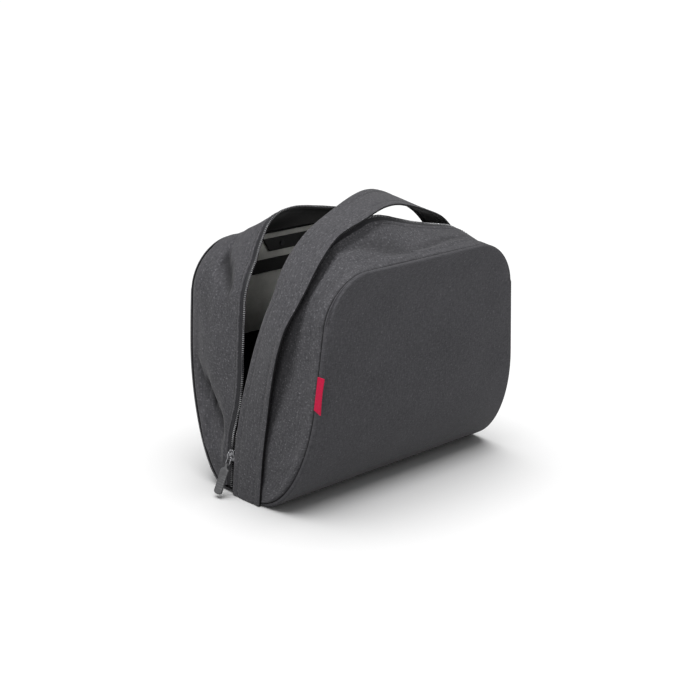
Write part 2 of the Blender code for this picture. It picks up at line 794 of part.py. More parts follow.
def add_side_label(finish):
    """Folded label that stands forward from the front left seam."""
    low = LABEL_MIDDLE - 0.5 * LABEL_HEIGHT
    high = LABEL_MIDDLE + 0.5 * LABEL_HEIGHT
    root = 0.8 * PANEL_WALL
    rings = []
    for z, drop in ((low, LABEL_SLANT), (high, 0.0)):
        x = -(half_width(z) + GAP)
        back = -front_plane(z) + root
        tip = -front_plane(z) - LABEL_REACH
        rings.append([
            Vector((x, back, z)),
            Vector((x, tip, z - drop)),
            Vector((x - LABEL_THICKNESS, tip, z - drop)),
            Vector((x - LABEL_THICKNESS, back, z)),
        ])
    thing = sweep("side_label", rings)
    thing.data.materials.append(finish)


def rear_wall_frame(low, high):
    """Point, up and outward of the straight line between two heights of the wall."""
    up = np.array([0.0, rear_plane(high) - rear_plane(low), high - low])
    up /= np.linalg.norm(up)
    out = np.array([0.0, up[2], -up[1]])
    return np.array([0.0, rear_plane(low), low]), up, out


def add_back_board(board_finish, bar_finish, rivet_finish):
    """Stiff board inside the rear wall, with its two bars and rivets."""
    across = np.array([1.0, 0.0, 0.0])
    board_back = PANEL_WALL + GAP
    board_front = board_back + BOARD_THICKNESS
    rise = BOARD_TOP - BOARD_BOTTOM
    half = 0.5 * BOARD_WIDTH
    cut = 0.06 * BOARD_WIDTH
    shape = ((-half, 0), (half, 0), (half, rise - cut), (half - cut, rise),
             (-half + cut, rise), (-half, rise - cut))
    foot, up, out = rear_wall_frame(BOARD_BOTTOM, BOARD_TOP)
    point = foot - out * board_front
    board = extrude_outline("back_board", shape, point, across, up, out, BOARD_THICKNESS)
    board.data.materials.append(board_finish)
    bar_front = board_front + GAP + BAR_THICKNESS
    bars = (
        ("board_bar_upper", UPPER_BAR_WIDTH, UPPER_BAR_SLANT, UPPER_BAR_DROP),
        ("board_bar_lower", LOWER_BAR_WIDTH, 0.0, LOWER_BAR_DROP),
    )
    for name, width, slant, drop in bars:
        half = 0.5 * width
        point = foot + up * (rise - drop) - out * bar_front
        low = -0.5 * BAR_HEIGHT
        high = 0.5 * BAR_HEIGHT
        shape = ((-half + slant, low), (half - slant, low), (half, high), (-half, high))
        bar = extrude_outline(name, shape, point, across, up, out, BAR_THICKNESS)
        bar.data.materials.append(bar_finish)
    ring = []
    for k in range(12):
        angle = 2 * math.pi * k / 12
        ring.append((RIVET_RADIUS * math.cos(angle), RIVET_RADIUS * math.sin(angle)))
    rivet_front = bar_front + GAP + RIVET_RISE
    point = foot + up * (rise - UPPER_BAR_DROP) - out * rivet_front
    for side, name in ((-1, "bar_rivet_left"), (1, "bar_rivet_right")):
        centre = point + across * side * 0.5 * RIVET_PITCH
        rivet = extrude_outline(name, ring, centre, across, up, out, RIVET_RISE)
        rivet.data.materials.append(rivet_finish)


def add_rear_plate(finish):
    """Plain plate on the outside of the rear wall, for the handlebar mount."""
    across = np.array([1.0, 0.0, 0.0])
    wide = 0.5 * PLATE_WIDTH
    tall = 0.5 * PLATE_HEIGHT
    shape = []
    for corner_x, corner_z, start in ((1, -1, -90), (1, 1, 0), (-1, 1, 90), (-1, -1, 180)):
        for k in range(5):
            angle = math.radians(start + 90 * k / 4)
            shape.append((
                corner_x * (wide - PLATE_CORNER) + PLATE_CORNER * math.cos(angle),
                corner_z * (tall - PLATE_CORNER) + PLATE_CORNER * math.sin(angle),
            ))
    step = 0.5 * GAP
    foot, up, out = rear_wall_frame(PLATE_MIDDLE - step, PLATE_MIDDLE + step)
    point = foot + up * step + out * GAP
    plate = extrude_outline("rear_mount_plate", shape, point, across, up, out, PLATE_THICKNESS)
    plate.data.materials.append(finish)


def main():
    """Build the whole bag."""
    for thing in list(bpy.data.objects):
        bpy.data.objects.remove(thing)
    panel_cloth = material("panel_cloth", (0.050, 0.049, 0.053), 0.9)
    gusset_cloth = material("gusset_cloth", (0.075, 0.074, 0.079), 0.92)
    zip_cloth = material("zip_cloth", (0.018, 0.018, 0.020), 0.8)
    metal = material("slider_metal", (0.30, 0.30, 0.31), 0.35, 1.0)
    rubber = material("tab_rubber", (0.10, 0.10, 0.105), 0.55)
    red_woven = material("label_red", (0.62, 0.01, 0.06), 0.7)
    grey_board = material("board_grey", (0.19, 0.19, 0.18), 0.7)
    black_plastic = material("black_plastic", (0.015, 0.015, 0.016), 0.45)
    add_wrap_panel(panel_cloth)
    edges = add_gussets(gusset_cloth)
    add_zip_tapes(edges, zip_cloth)
    add_handle_strap(gusset_cloth)
    eye, out, rear = add_zip_slider(metal)
    end = add_pull_link(eye, rear, metal)
    add_pull_tab(end, rear, rubber)
    add_side_label(red_woven)
    add_back_board(grey_board, black_plastic, metal)
    add_rear_plate(black_plastic)


main()
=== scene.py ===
import math

import bmesh
import bpy
import numpy as np
from mathutils import Matrix, Vector, noise


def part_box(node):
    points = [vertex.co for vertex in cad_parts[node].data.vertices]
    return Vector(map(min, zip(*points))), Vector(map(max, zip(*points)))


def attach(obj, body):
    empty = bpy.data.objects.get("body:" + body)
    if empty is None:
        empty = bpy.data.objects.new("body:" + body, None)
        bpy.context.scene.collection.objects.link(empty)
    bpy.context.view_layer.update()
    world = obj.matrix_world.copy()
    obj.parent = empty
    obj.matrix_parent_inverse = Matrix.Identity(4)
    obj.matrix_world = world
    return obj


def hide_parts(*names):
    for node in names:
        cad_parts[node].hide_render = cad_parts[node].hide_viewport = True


bl_info = {
    "name": "Handlebar Bag",
    "version": (1, 0, 0),
    "blender": (4, 5, 0),
    "location": "3D View > Sidebar > Bag",
    "description": "Sews the cloth, zip, strap and trim of an open handlebar bag over its solids",
    "category": "Object",
}

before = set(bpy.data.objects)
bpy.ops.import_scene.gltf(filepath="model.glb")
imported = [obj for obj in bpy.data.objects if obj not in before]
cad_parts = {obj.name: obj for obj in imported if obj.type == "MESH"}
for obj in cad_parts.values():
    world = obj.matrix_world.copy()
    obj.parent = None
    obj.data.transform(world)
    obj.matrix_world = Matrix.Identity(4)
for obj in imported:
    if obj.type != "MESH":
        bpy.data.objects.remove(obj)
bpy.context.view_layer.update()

# The zip edge of each shell. Station runs from 0 at the foot of the band to 1
# at the middle of the top, share from the foot line of the zip to its top line
ZIP_EDGE_COLUMNS = ("station", "front_share", "rear_share", "rear_swing")
ZIP_EDGE = (
    (0.00, 0.00, 0.00, 0.00),
    (0.16, 0.00, 0.00, 0.00),
    (0.22, 0.08, 0.00, 0.45),
    (0.28, 0.22, 0.00, 0.90),
    (0.35, 0.38, 0.00, 1.00),
    (0.43, 0.55, 0.00, 0.85),
    (0.52, 0.78, 0.00, 0.75),
    (0.60, 0.93, 0.15, 0.75),
    (0.70, 1.00, 0.60, 0.40),
    (0.80, 1.00, 0.90, 0.00),
    (1.00, 1.00, 1.00, 0.00),
)

# How far the free edges of the top stand up, over the half width of the top
LIFT_COLUMNS = ("across", "front_lift", "rear_lift")
LIFT = (
    (-1.00, 0.00, 0.00),
    (-0.93, 0.03, 0.00),
    (-0.87, 0.08, 0.04),
    (-0.83, 0.15, 0.24),
    (-0.77, 0.28, 0.48),
    (-0.71, 0.42, 0.67),
    (-0.62, 0.57, 0.84),
    (-0.52, 0.70, 0.96),
    (-0.40, 0.84, 1.00),
    (-0.29, 0.98, 0.97),
    (-0.18, 1.00, 0.91),
    (-0.07, 0.93, 0.85),
    (0.07, 0.78, 0.76),
    (0.20, 0.64, 0.60),
    (0.34, 0.51, 0.42),
    (0.48, 0.40, 0.26),
    (0.60, 0.31, 0.15),
    (0.74, 0.19, 0.06),
    (0.90, 0.04, 0.01),
    (1.00, 0.00, 0.00),
)

# Shape of the rear wall's bow, over one puts its deepest place above half height
REAR_BOW_SKEW = 1.6

# Soft folds of the rear gusset, near those of the solids: side, then the two ends
# by station and band share, then width and depth as shares
FOLDS = (
    (-1, 0.34, 0.00, 0.24, 0.32, 0.080, 0.70),
    (-1, 0.24, 0.32, 0.125, 0.86, 0.075, 1.00),
    (-1, 0.67, 0.42, 0.58, 0.80, 0.075, 0.60),
    (1, 0.40, 0.12, 0.24, 0.60, 0.090, 0.80),
    (1, 0.66, 0.75, 0.50, 0.55, 0.090, 0.60),
)

# Small creases on top of the folds, depth in metres, below zero for a ridge
REAR_CREASES = (
    (-1, 0.35, 0.00, 0.250, 0.36, 0.036, 0.0018),
    (-1, 0.250, 0.36, 0.138, 0.88, 0.034, 0.0026),
    (-1, 0.68, 0.40, 0.60, 0.78, 0.028, 0.0030),
    (-1, 0.60, 0.78, 0.53, 0.94, 0.026, 0.0018),
    (-1, 0.745, 0.16, 0.68, 0.56, 0.020, -0.0012),
    (-1, 0.60, 0.25, 0.50, 0.40, 0.050, 0.0005),
    (1, 0.45, 0.15, 0.30, 0.52, 0.034, 0.0014),
    (1, 0.60, 0.65, 0.44, 0.45, 0.035, -0.0008),
)
FRONT_CREASES = (
    (-1, 0.93, 0.25, 0.84, 0.70, 0.070, 0.0016),
    (-1, 0.90, 0.15, 0.78, 0.60, 0.060, -0.0008),
    (-1, 0.70, 0.20, 0.60, 0.60, 0.060, 0.0006),
    (-1, 0.40, 0.50, 0.20, 0.75, 0.070, 0.0006),
    (1, 0.98, 0.30, 0.84, 0.50, 0.050, 0.0010),
    (1, 0.95, 0.20, 0.80, 0.34, 0.040, -0.0008),
    (1, 0.76, 0.30, 0.68, 0.70, 0.070, 0.0004),
    (1, 0.40, 0.50, 0.22, 0.72, 0.080, 0.0006),
)

# Painted shade in a crease, per metre of its depth
CREASE_SHADE = 260.0

# Most that the cloth simulation may move each gusset, its spare length and its frames
FRONT_SAG = 0.0010
REAR_SAG = 0.0012
CLOTH_SPARE = 0.012
CLOTH_FRAMES = 24

# Rows of a gusset along each side, round each top corner and over each half of the top
SIDE_ROWS = 72
CORNER_ROWS = 28
TOP_ROWS = 34

# Distances from the panel's rim of its closest rows of points
EDGE_STEPS = (0.0, 0.0003, 0.0007, 0.0012, 0.0018, 0.0026, 0.0038, 0.0058)

# Zip stitches: how far they lie from the gusset's edge, depth and width of their groove
ZIP_SEAM = 0.0032
ZIP_SEAM_DEPTH, ZIP_SEAM_WIDTH = 0.00045, 0.0009

# Gusset's relief: width of the seam's groove, height, place and width of the ridge
# beside it, radius of the hem, then the height and scale of two soft waves
GROOVE_WIDTH = 0.0017
RIDGE_HEIGHT, RIDGE_PLACE, RIDGE_WIDTH = 0.0009, 0.0058, 0.0034
HEM_RADIUS = 0.0008
GUSSET_WAVES = ((0.0007, 21.0), (0.0005, 62.0))

# Steps of the wrap panel: along its curve, round its corners, along its bottom
# and over its half width, then the height and scale of two soft waves
CURVE_STEPS, CORNER_STEPS, BOTTOM_STEPS, WIDTH_STEPS = 44, 24, 10, 17
PANEL_WAVES = ((0.0005, 17.0), (0.0002, 55.0))

# Strap's section: depth and width of its stitch groove, height of its crown and waves
STRAP_GROOVE, STRAP_GROOVE_WIDTH = 0.00042, 0.0011
STRAP_CROWN, STRAP_WAVE = 0.00018, 0.00025

# Pull: radius of its wire and of the slider's bail, half width of the tab's neck and
# of the tab, then its ribs' pitch and relief and the share of its length with ribs
LINK_WIRE, BAIL_WIRE = 0.0005, 0.00065
NECK_HALF, TAB_HALF = 0.0014, 0.0046
RIB_PITCH, RIB_RELIEF = 0.0021, 0.16
RIB_START, RIB_END = 0.34, 0.86

# Half outline of the slider's plates, height and half width
SLIDER_WAIST = (
    (0.0, 0.0041), (0.0025, 0.0041), (0.0052, 0.0036),
    (0.0075, 0.0030), (0.0090, 0.0024), (0.0100, 0.0012),
)

# Free run of the strap over the opening. Across is a share of the half width
# of the top, forward a share of the front depth, up a share of the handle's rise
# above the top, tilt the rise of the rear edge as a share of the width, and
# twist the share by which the rear edge turns to the right
STRAP_ARCH = (
    (-1.035, 0.462, -0.376, 0.00, 0.04),
    (-0.885, 0.464, 0.188, -0.03, -0.06),
    (-0.700, 0.441, 0.571, -0.02, -0.02),
    (-0.410, 0.417, 0.861, 0.11, 0.02),
    (-0.120, 0.345, 1.024, 0.15, 0.05),
    (0.120, 0.256, 0.993, 0.20, 0.04),
    (0.250, 0.211, 0.907, 0.20, 0.03),
    (0.550, 0.129, 0.596, 0.11, -0.02),
    (0.760, 0.092, 0.305, 0.03, -0.03),
    (0.880, 0.073, 0.022, 0.01, -0.02),
    (1.010, 0.059, -0.443, 0.00, 0.00),
)

# Strap's middle line down each side, from its foot: height and how far it
# leans forward, as shares of the height and of the front depth at the top, and the
# twist by which the left run's front edge stands off the gusset
STRAP_SIDE_COLUMNS = ("up", "left_forward", "right_forward", "left_twist")
STRAP_SIDE = (
    (0.02, 0.012, 0.023, 0.00),
    (0.22, 0.047, 0.023, 0.01),
    (0.40, 0.106, 0.025, 0.05),
    (0.51, 0.168, 0.030, 0.13),
    (0.61, 0.230, 0.038, 0.19),
    (0.71, 0.306, 0.046, 0.24),
    (0.80, 0.383, 0.052, 0.23),
    (0.89, 0.450, 0.060, 0.11),
)


def length(label, words, value, low=0.0):
    """A length for the sidebar."""
    return bpy.props.FloatProperty(
        name=label, description=words, default=value, min=low, unit="LENGTH", precision=5,
    )


def colour(label, words, value):
    """A colour for the sidebar."""
    return bpy.props.FloatVectorProperty(
        name=label, description=words, default=value, subtype="COLOR", size=3, min=0.0, max=1.0,
    )


class BagSizes(bpy.types.PropertyGroup):
    """Sizes of the bag's pieces."""

    height: length("Height", "Height of the padded body", 0.1975)
    foot_width: length("Foot Width", "Width of the body at the ground", 0.2476)
    top_width: length("Top Width", "Width of the body at its top", 0.2058)
    top_corner: length("Top Corner", "Radius of the round top corners", 0.0390)
    front_foot_depth: length("Front Foot Depth", "Depth in front of the middle, at the ground", 0.0701)
    front_top_depth: length("Front Top Depth", "Depth in front of the middle, at the top", 0.0815)
    rear_foot_depth: length("Rear Foot Depth", "Depth behind the middle, at the ground", 0.0765)
    rear_top_depth: length("Rear Top Depth", "Depth behind the middle, at the top", 0.0913)
    front_round_depth: length("Front Round Depth", "Reach of the front's curve under the bag", 0.0540)
    front_round_height: length("Front Round Height", "Rise of the front's curve", 0.0940)
    rear_round_depth: length("Rear Round Depth", "Reach of the rear's curve under the bag", 0.0480)
    rear_round_height: length("Rear Round Height", "Rise of the rear's curve", 0.1120)
    panel_wall: length("Panel Wall", "Thickness of the padded panel", 0.0028)
    panel_bulge: length("Panel Bulge", "How far the front panel swells", 0.0030)
    panel_roll: length("Panel Roll", "Radius of the panel's soft edge", 0.0017)
    gusset_wall: length("Gusset Wall", "Thickness of the gusset cloth", 0.0020)
    side_bulge: length("Side Bulge", "How far the band swells at the zip", 0.0030)
    seam_groove: length("Seam Groove", "How deep the seam pulls the gusset in", 0.0011)
    gap: length("Gap", "Room between separate pieces", 0.0003)
    zip_foot_y: length("Zip Foot", "Place of the zip at the foot of the side", 0.0200)
    foot_band: length("Foot Band", "Width of a gusset at its foot", 0.0090)
    front_band_top: length("Front Band", "Width of the front gusset on top", 0.0430)
    rear_band_top: length("Rear Band", "Width of the rear gusset on top", 0.0610)
    rear_swing: length("Rear Swing", "How far the rear edge swings forward", 0.0080)
    front_lift: length("Front Lift", "Rise of the front gusset's free edge", 0.0267)
    rear_lift: length("Rear Lift", "Rise of the rear gusset's free edge", 0.0268)
    rear_bow: length("Rear Bow", "How far the rear wall bows out", 0.0032)
    rear_belly: length("Rear Belly", "How far the rear gusset bellies out", 0.0035)
    fold_depth: length("Fold Depth", "Depth of the soft folds", 0.0070)
    tape_width: length("Tape Width", "Width of the zip tape that shows", 0.0035)
    tape_thickness: length("Tape Thickness", "Thickness of the zip tape", 0.0008)
    bead_width: length("Bead Width", "Width of the row of teeth", 0.0022)
    bead_thickness: length("Bead Thickness", "Thickness of the row of teeth", 0.0018)
    tooth_pitch: length("Tooth Pitch", "Distance from tooth to tooth", 0.0017)
    slider_height: length("Slider Height", "Height at which the slider is parked", 0.0335)
    strap_width: length("Strap Width", "Width of the carry strap", 0.0350)
    strap_thickness: length("Strap Thickness", "Thickness of the carry strap", 0.0024)
    strap_foot: length("Strap Foot", "Height of the strap's ends", 0.0008)
    handle_rise: length("Handle Rise", "Height of the strap over the body", 0.0390)
    stitch_margin: length("Stitch Margin", "Distance of the stitches from the strap's edge", 0.0068)
    stitch_pitch: length("Stitch Pitch", "Distance from stitch to stitch", 0.0036)
    stitch_length: length("Stitch Length", "Length of one stitch", 0.0029)
    thread: length("Thread", "Thickness of the sewing thread", 0.0006)
    label_height: length("Label Height", "Height of the side label", 0.0265)
    label_reach: length("Label Reach", "How far the label stands out of the seam", 0.0052)
    label_thickness: length("Label Thickness", "Thickness of the folded label", 0.0010)
    label_slant: length("Label Slant", "Drop of the label's lower corner", 0.0026)
    label_middle: length("Label Middle", "Height of the label's middle", 0.1085)


class BagColours(bpy.types.PropertyGroup):
    """Colours of the bag's pieces."""

    panel_dark: colour("Panel Dark", "Dark threads of the padded panel", (0.014, 0.014, 0.016))
    panel_light: colour("Panel Light", "Light threads of the padded panel", (0.046, 0.045, 0.049))
    gusset_dark: colour("Gusset Dark", "Dark threads of the gussets and the strap", (0.014, 0.014, 0.016))
    gusset_light: colour("Gusset Light", "Light threads of the gussets and the strap", (0.052, 0.051, 0.055))
    lining: colour("Lining", "Cloth on the inside", (0.003, 0.003, 0.0035))
    tape: colour("Tape", "Zip tape", (0.006, 0.006, 0.007))
    teeth: colour("Teeth", "Zip teeth", (0.150, 0.150, 0.155))
    thread: colour("Thread", "Sewing thread", (0.030, 0.030, 0.032))
    metal: colour("Metal", "Slider, link and rivets", (0.200, 0.200, 0.210))
    rubber: colour("Rubber", "Pull tab", (0.042, 0.042, 0.044))
    label: colour("Label", "Side label", (0.270, 0.001, 0.024))
    board: colour("Board", "Back board", (0.430, 0.430, 0.405))
    plastic: colour("Plastic", "Bars of the board and rear plate", (0.003, 0.003, 0.003))
    floor: colour("Floor", "Studio floor", (0.900, 0.900, 0.900))


def column(table, columns, name):
    """One named column of a table as an array."""
    return np.array([row[columns.index(name)] for row in table], dtype=float)


def cubic_step(knots, value, points, slopes):
    """Value of a cubic line at a place between two of its knots."""
    i = int(np.clip(np.searchsorted(knots, value) - 1, 0, len(knots) - 2))
    span = knots[i + 1] - knots[i]
    t = (value - knots[i]) / span
    start = (1 + 2 * t) * (1 - t) ** 2 * points[i] + t * (1 - t) ** 2 * span * slopes[i]
    end = t * t * (3 - 2 * t) * points[i + 1] + t * t * (t - 1) * span * slopes[i + 1]
    return start + end


def smooth_interp(value, xs, ys):
    """Interpolate a table with a monotone cubic through its rows."""
    secants = np.diff(ys) / np.diff(xs)
    slopes = np.zeros(len(xs))
    slopes[0] = secants[0]
    slopes[-1] = secants[-1]
    for i in range(1, len(xs) - 1):
        if secants[i - 1] * secants[i] > 0:
            slopes[i] = 2 / (1 / secants[i - 1] + 1 / secants[i])
    return float(cubic_step(xs, np.clip(value, xs[0], xs[-1]), ys, slopes))


def table_reader(table, columns, key):
    """A function that reads any column of a table at a key's value."""
    xs = column(table, columns, key)
    values = {name: column(table, columns, name) for name in columns}
    return lambda name, at: smooth_interp(at, xs, values[name])


zip_edge = table_reader(ZIP_EDGE, ZIP_EDGE_COLUMNS, "station")
lift_at = table_reader(LIFT, LIFT_COLUMNS, "across")
strap_side = table_reader(STRAP_SIDE, STRAP_SIDE_COLUMNS, "up")


def unit(rows):
    """Each row of an array at length one."""
    return rows / np.linalg.norm(rows, axis=1)[:, None]


def bell(distance, width):
    """Soft bell curve, one at its middle."""
    return math.exp(-((distance / width) ** 2))


def powered(value, power):
    """A value's power with its sign kept."""
    return math.copysign(abs(value) ** power, value)


def ease(value):
    """Smooth step from 0 to 1."""
    value = min(1.0, max(0.0, value))
    return value * value * (3 - 2 * value)


def crease_sum(table, side, station, share):
    """Depth of a table's creases at one place of a gusset."""
    depth = 0.0
    for row_side, station_a, band_a, station_b, band_b, width, deep in table:
        if row_side != side:
            continue
        run_u = station_b - station_a
        run_v = band_b - band_a
        here_u = station - station_a
        here_v = share - band_a
        along = (here_u * run_u + here_v * run_v) / (run_u * run_u + run_v * run_v)
        along = min(1.0, max(0.0, along))
        away = math.hypot(here_u - along * run_u, here_v - along * run_v)
        depth += deep * bell(away, width)
    return depth


class BagShape:
    """Where the bag's walls, seams and zip edges run."""

    def __init__(self, sizes):
        self.s = sizes
        self.side_top = sizes.height - sizes.top_corner
        self.corner_run = 0.5 * math.pi * sizes.top_corner
        self.top_run = 0.5 * sizes.top_width - sizes.top_corner
        self.band_run = self.side_top + self.corner_run + self.top_run
        self.inner_lines = {front: self.inset_line(front) for front in (True, False)}
        self.zip_half = 2 * sizes.gap + sizes.tape_width + sizes.bead_width + 0.0006

    def between(self, foot, top, z):
        """Value at a height, from the one at the foot to the one at the top."""
        return foot + (top - foot) * z / self.s.height

    def half_width(self, z):
        """Half width of the body between its corners."""
        return 0.5 * self.between(self.s.foot_width, self.s.top_width, z)

    def front_plane(self, z):
        """Depth of the front plane, as a positive length."""
        return self.between(self.s.front_foot_depth, self.s.front_top_depth, z)

    def rear_plane(self, z):
        """Depth of the rear wall, which bows out a little."""
        share = min(1.0, max(0.0, z / self.s.height))
        bow = self.s.rear_bow * math.sin(math.pi * share ** REAR_BOW_SKEW)
        return self.between(self.s.rear_foot_depth, self.s.rear_top_depth, z) + bow

    def body_y(self, share, z):
        """Y at a share of the depth from the front plane to the rear plane."""
        return -self.front_plane(z) + share * (self.front_plane(z) + self.rear_plane(z))

    def half_profile(self, front, steps, top):
        """Side profile of the outer wall from the bottom's flat up to a height."""
        s = self.s
        depth = s.front_foot_depth + s.rear_foot_depth
        reach = s.front_round_depth if front else s.rear_round_depth
        rise = s.front_round_height if front else s.rear_round_height
        points = []
        for k in range(steps + 1):
            angle = 0.5 * math.pi * (1 - k / steps)
            z = rise * (1 - math.sin(angle))
            share = reach * (1 - math.cos(angle)) / depth
            points.append((self.body_y(share if front else 1 - share, z), z))
        straight = max(3, steps // 3)
        for k in range(1, straight + 1):
            z = rise + (top - rise) * k / straight
            points.append((self.body_y(0 if front else 1, z), z))
        return points

    def inset_line(self, front):
        """Heights and depths of the line inside the panel that the seam follows."""
        points = np.array(self.half_profile(front, 60, self.s.height))
        tangent = unit(np.gradient(points, axis=0))
        turn = 1 if front else -1
        inset = self.s.panel_wall + self.s.gap
        inner = points + inset * np.stack([tangent[:, 1] * turn, -tangent[:, 0] * turn], 1)
        return inner[:, 1], inner[:, 0]

    def inner_y(self, front, z):
        """Y of the seam inside the panel."""
        heights, depths = self.inner_lines[front]
        return float(np.interp(z, heights, depths))

    def outline(self, front):
        """Rows of a gusset from its left foot over the top to its right foot."""
        s = self.s
        low = self.foot_height(front)
        left = []
        for k in range(SIDE_ROWS):
            z = low + (self.side_top - low) * (k / SIDE_ROWS) ** 1.15
            left.append((-self.half_width(z), z, -1.0, 0.0, z / self.band_run))
        centre_x = -self.half_width(s.height) + s.top_corner
        foot_x = -self.half_width(self.side_top)
        for k in range(CORNER_ROWS + 1):
            angle = 0.5 * math.pi * k / CORNER_ROWS
            x = centre_x - s.top_corner * math.cos(angle)
            x += (foot_x - centre_x + s.top_corner) * (1 - math.sin(angle))
            z = self.side_top + s.top_corner * math.sin(angle)
            station = (self.side_top + self.corner_run * k / CORNER_ROWS) / self.band_run
            left.append((x, z, -math.cos(angle), math.sin(angle), station))
        for k in range(1, TOP_ROWS + 1):
            x = centre_x * (1 - k / TOP_ROWS)
            station = 1 - (1 - k / TOP_ROWS) * self.top_run / self.band_run
            left.append((x, s.height, 0.0, 1.0, station))
        right = [(-x, z, -nx, nz, station) for x, z, nx, nz, station in left[:-1]]
        return left + right[::-1]

    def edge_y(self, front, station):
        """Y of a gusset's free edge, where its zip tape starts."""
        s = self.s
        if front:
            top_y = -s.front_top_depth + s.front_band_top - self.zip_half
            foot_y = s.zip_foot_y - self.zip_half
            return foot_y + (top_y - foot_y) * zip_edge("front_share", station)
        top_y = s.rear_top_depth - s.rear_band_top + self.zip_half
        foot_y = s.zip_foot_y + self.zip_half
        swing = s.rear_swing * zip_edge("rear_swing", station)
        return foot_y + (top_y - foot_y) * zip_edge("rear_share", station) - swing

    def foot_height(self, front):
        """Height of a gusset's foot, where its band is wide enough to sew."""
        heights, depths = self.inner_lines[front]
        edge = self.edge_y(front, 0.0)
        if front:
            return float(np.interp(-(edge - self.s.foot_band), -depths, heights))
        return float(np.interp(edge + self.s.foot_band, depths, heights))

    def side_swell(self, station):
        """How far the gusset's free edge swells outwards."""
        swell = math.sin(math.pi * min(1.0, 0.12 + 0.75 * station)) * min(1.0, station / 0.12)
        return self.s.side_bulge * swell

    def fold(self, side, station, share):
        """Depth of the soft folds, kept off the seam and the zip."""
        depth = min(crease_sum(FOLDS, side, station, share), 1.0)
        return self.s.fold_depth * depth * ease(share / 0.15) * ease((0.87 - share) / 0.30)

    def band_point(self, front, place, share, sink):
        """Outer surface of a gusset at one share of its band."""
        x, z, nx, nz, station = place
        seam_y = self.inner_y(front, z)
        edge_y = self.edge_y(front, station)
        across = float(np.clip(x / (0.5 * self.s.top_width), -1, 1))
        lift = self.s.front_lift * lift_at("front_lift", across)
        if not front:
            lift = self.s.rear_lift * lift_at("rear_lift", across)
        out = self.side_swell(station) * math.sin(0.5 * math.pi * share) - sink
        if not front:
            window = math.sin(math.pi * min(1.0, station / 0.9)) ** 2
            out += self.s.rear_belly * window * math.sin(math.pi * share)
        return (
            x + nx * out,
            seam_y + (edge_y - seam_y) * share,
            z + nz * out + lift * share ** 1.15,
        )

    def free_edge(self, front, places):
        """Middle of a gusset's free edge: points, way across and outward normal."""
        step = 1 / (6 if front else 9)
        shares = (1 - step, 1.0)
        pair = np.array([[self.band_point(front, place, share, 0.0) for share in shares] for place in places])
        across = unit(pair[:, 1] - pair[:, 0])
        normal = unit(np.cross(np.gradient(pair[:, 1], axis=0), across))
        if not front:
            normal = -normal
        return pair[:, 1] - 0.5 * self.s.gusset_wall * normal, across, normal

    def strap_knots(self):
        """Knots of the strap's middle line with its tilt, left foot to right foot."""
        s = self.s
        seat = 3 * s.gap + 0.5 * s.strap_thickness
        sides = {}
        for sign, name in ((-1, "left_forward"), (1, "right_forward")):
            run = []
            for up in column(STRAP_SIDE, STRAP_SIDE_COLUMNS, "up"):
                z = max(up * s.height, s.strap_foot)
                width = self.half_width(z)
                if z > self.side_top:
                    over = (z - self.side_top) / s.top_corner
                    width -= s.top_corner * (1 - math.sqrt(max(0.0, 1 - over * over))) * 0.55
                twist = strap_side("left_twist", up) if sign < 0 else 0.0
                stand = seat + 0.5 * s.strap_width * twist
                x = sign * (width + self.side_swell(z / self.band_run) + stand)
                run.append((x, -strap_side(name, up) * s.front_top_depth, z, 0.0, twist))
            sides[sign] = run
        arch = []
        for across, forward, up, tilt, twist in STRAP_ARCH:
            z = s.height + up * s.handle_rise
            arch.append((across * 0.5 * s.top_width, -forward * s.front_top_depth, z, tilt, twist))
        return np.array(sides[-1] + arch + sides[1][-2::-1])


def spline(points, steps):
    """Smooth line through points, with its knots spaced by their distance."""
    gaps = np.linalg.norm(np.diff(points[:, :3], axis=0), axis=1)
    knots = np.concatenate([[0], np.cumsum(gaps)])
    slopes = np.gradient(points, knots, axis=0)
    return np.array([cubic_step(knots, place, points, slopes) for place in np.linspace(0, knots[-1], steps)])


def ripple(point, scale):
    """Soft noise at a point, from -1 to 1."""
    return noise.noise(Vector(point) * scale, noise_basis="PERLIN_ORIGINAL")


# Node trees of the finishes

def plain_finish(name, tint, roughness, **sockets):
    """A Principled material with its even values set on the shader."""
    made = bpy.data.materials.new(name)
    made.use_nodes = True
    tree = made.node_tree
    shader = tree.nodes["Principled BSDF"]
    shader.inputs["Base Color"].default_value = (*tint, 1.0)
    shader.inputs["Roughness"].default_value = roughness
    for socket, value in sockets.items():
        shader.inputs[socket.replace("_", " ")].default_value = value
    return made, tree, shader


def math_node(tree, operation, first, second, clamp=False):
    """A Math node on two links or numbers."""
    node = tree.nodes.new("ShaderNodeMath")
    node.operation = operation
    node.use_clamp = clamp
    for slot, value in enumerate((first, second)):
        if isinstance(value, (int, float)):
            node.inputs[slot].default_value = value
        else:
            tree.links.new(value, node.inputs[slot])
    return node.outputs[0]


def times(tree, value, factor, clamp=False):
    """Product of a link and a link or number."""
    return math_node(tree, "MULTIPLY", value, factor, clamp)


def mixture(tree, *pairs, clamp=False):
    """Sum of two or more links, each times its share."""
    parts = [times(tree, value, share) for value, share in pairs]
    total = parts[0]
    for number, part in enumerate(parts[1:], 2):
        total = math_node(tree, "ADD", total, part, clamp and number == len(parts))
    return total


def varied(tree, link, amount, middle):
    """A roughness that a link moves up and down around its middle."""
    return math_node(tree, "ADD", times(tree, link, amount), middle - 0.5 * amount, clamp=True)


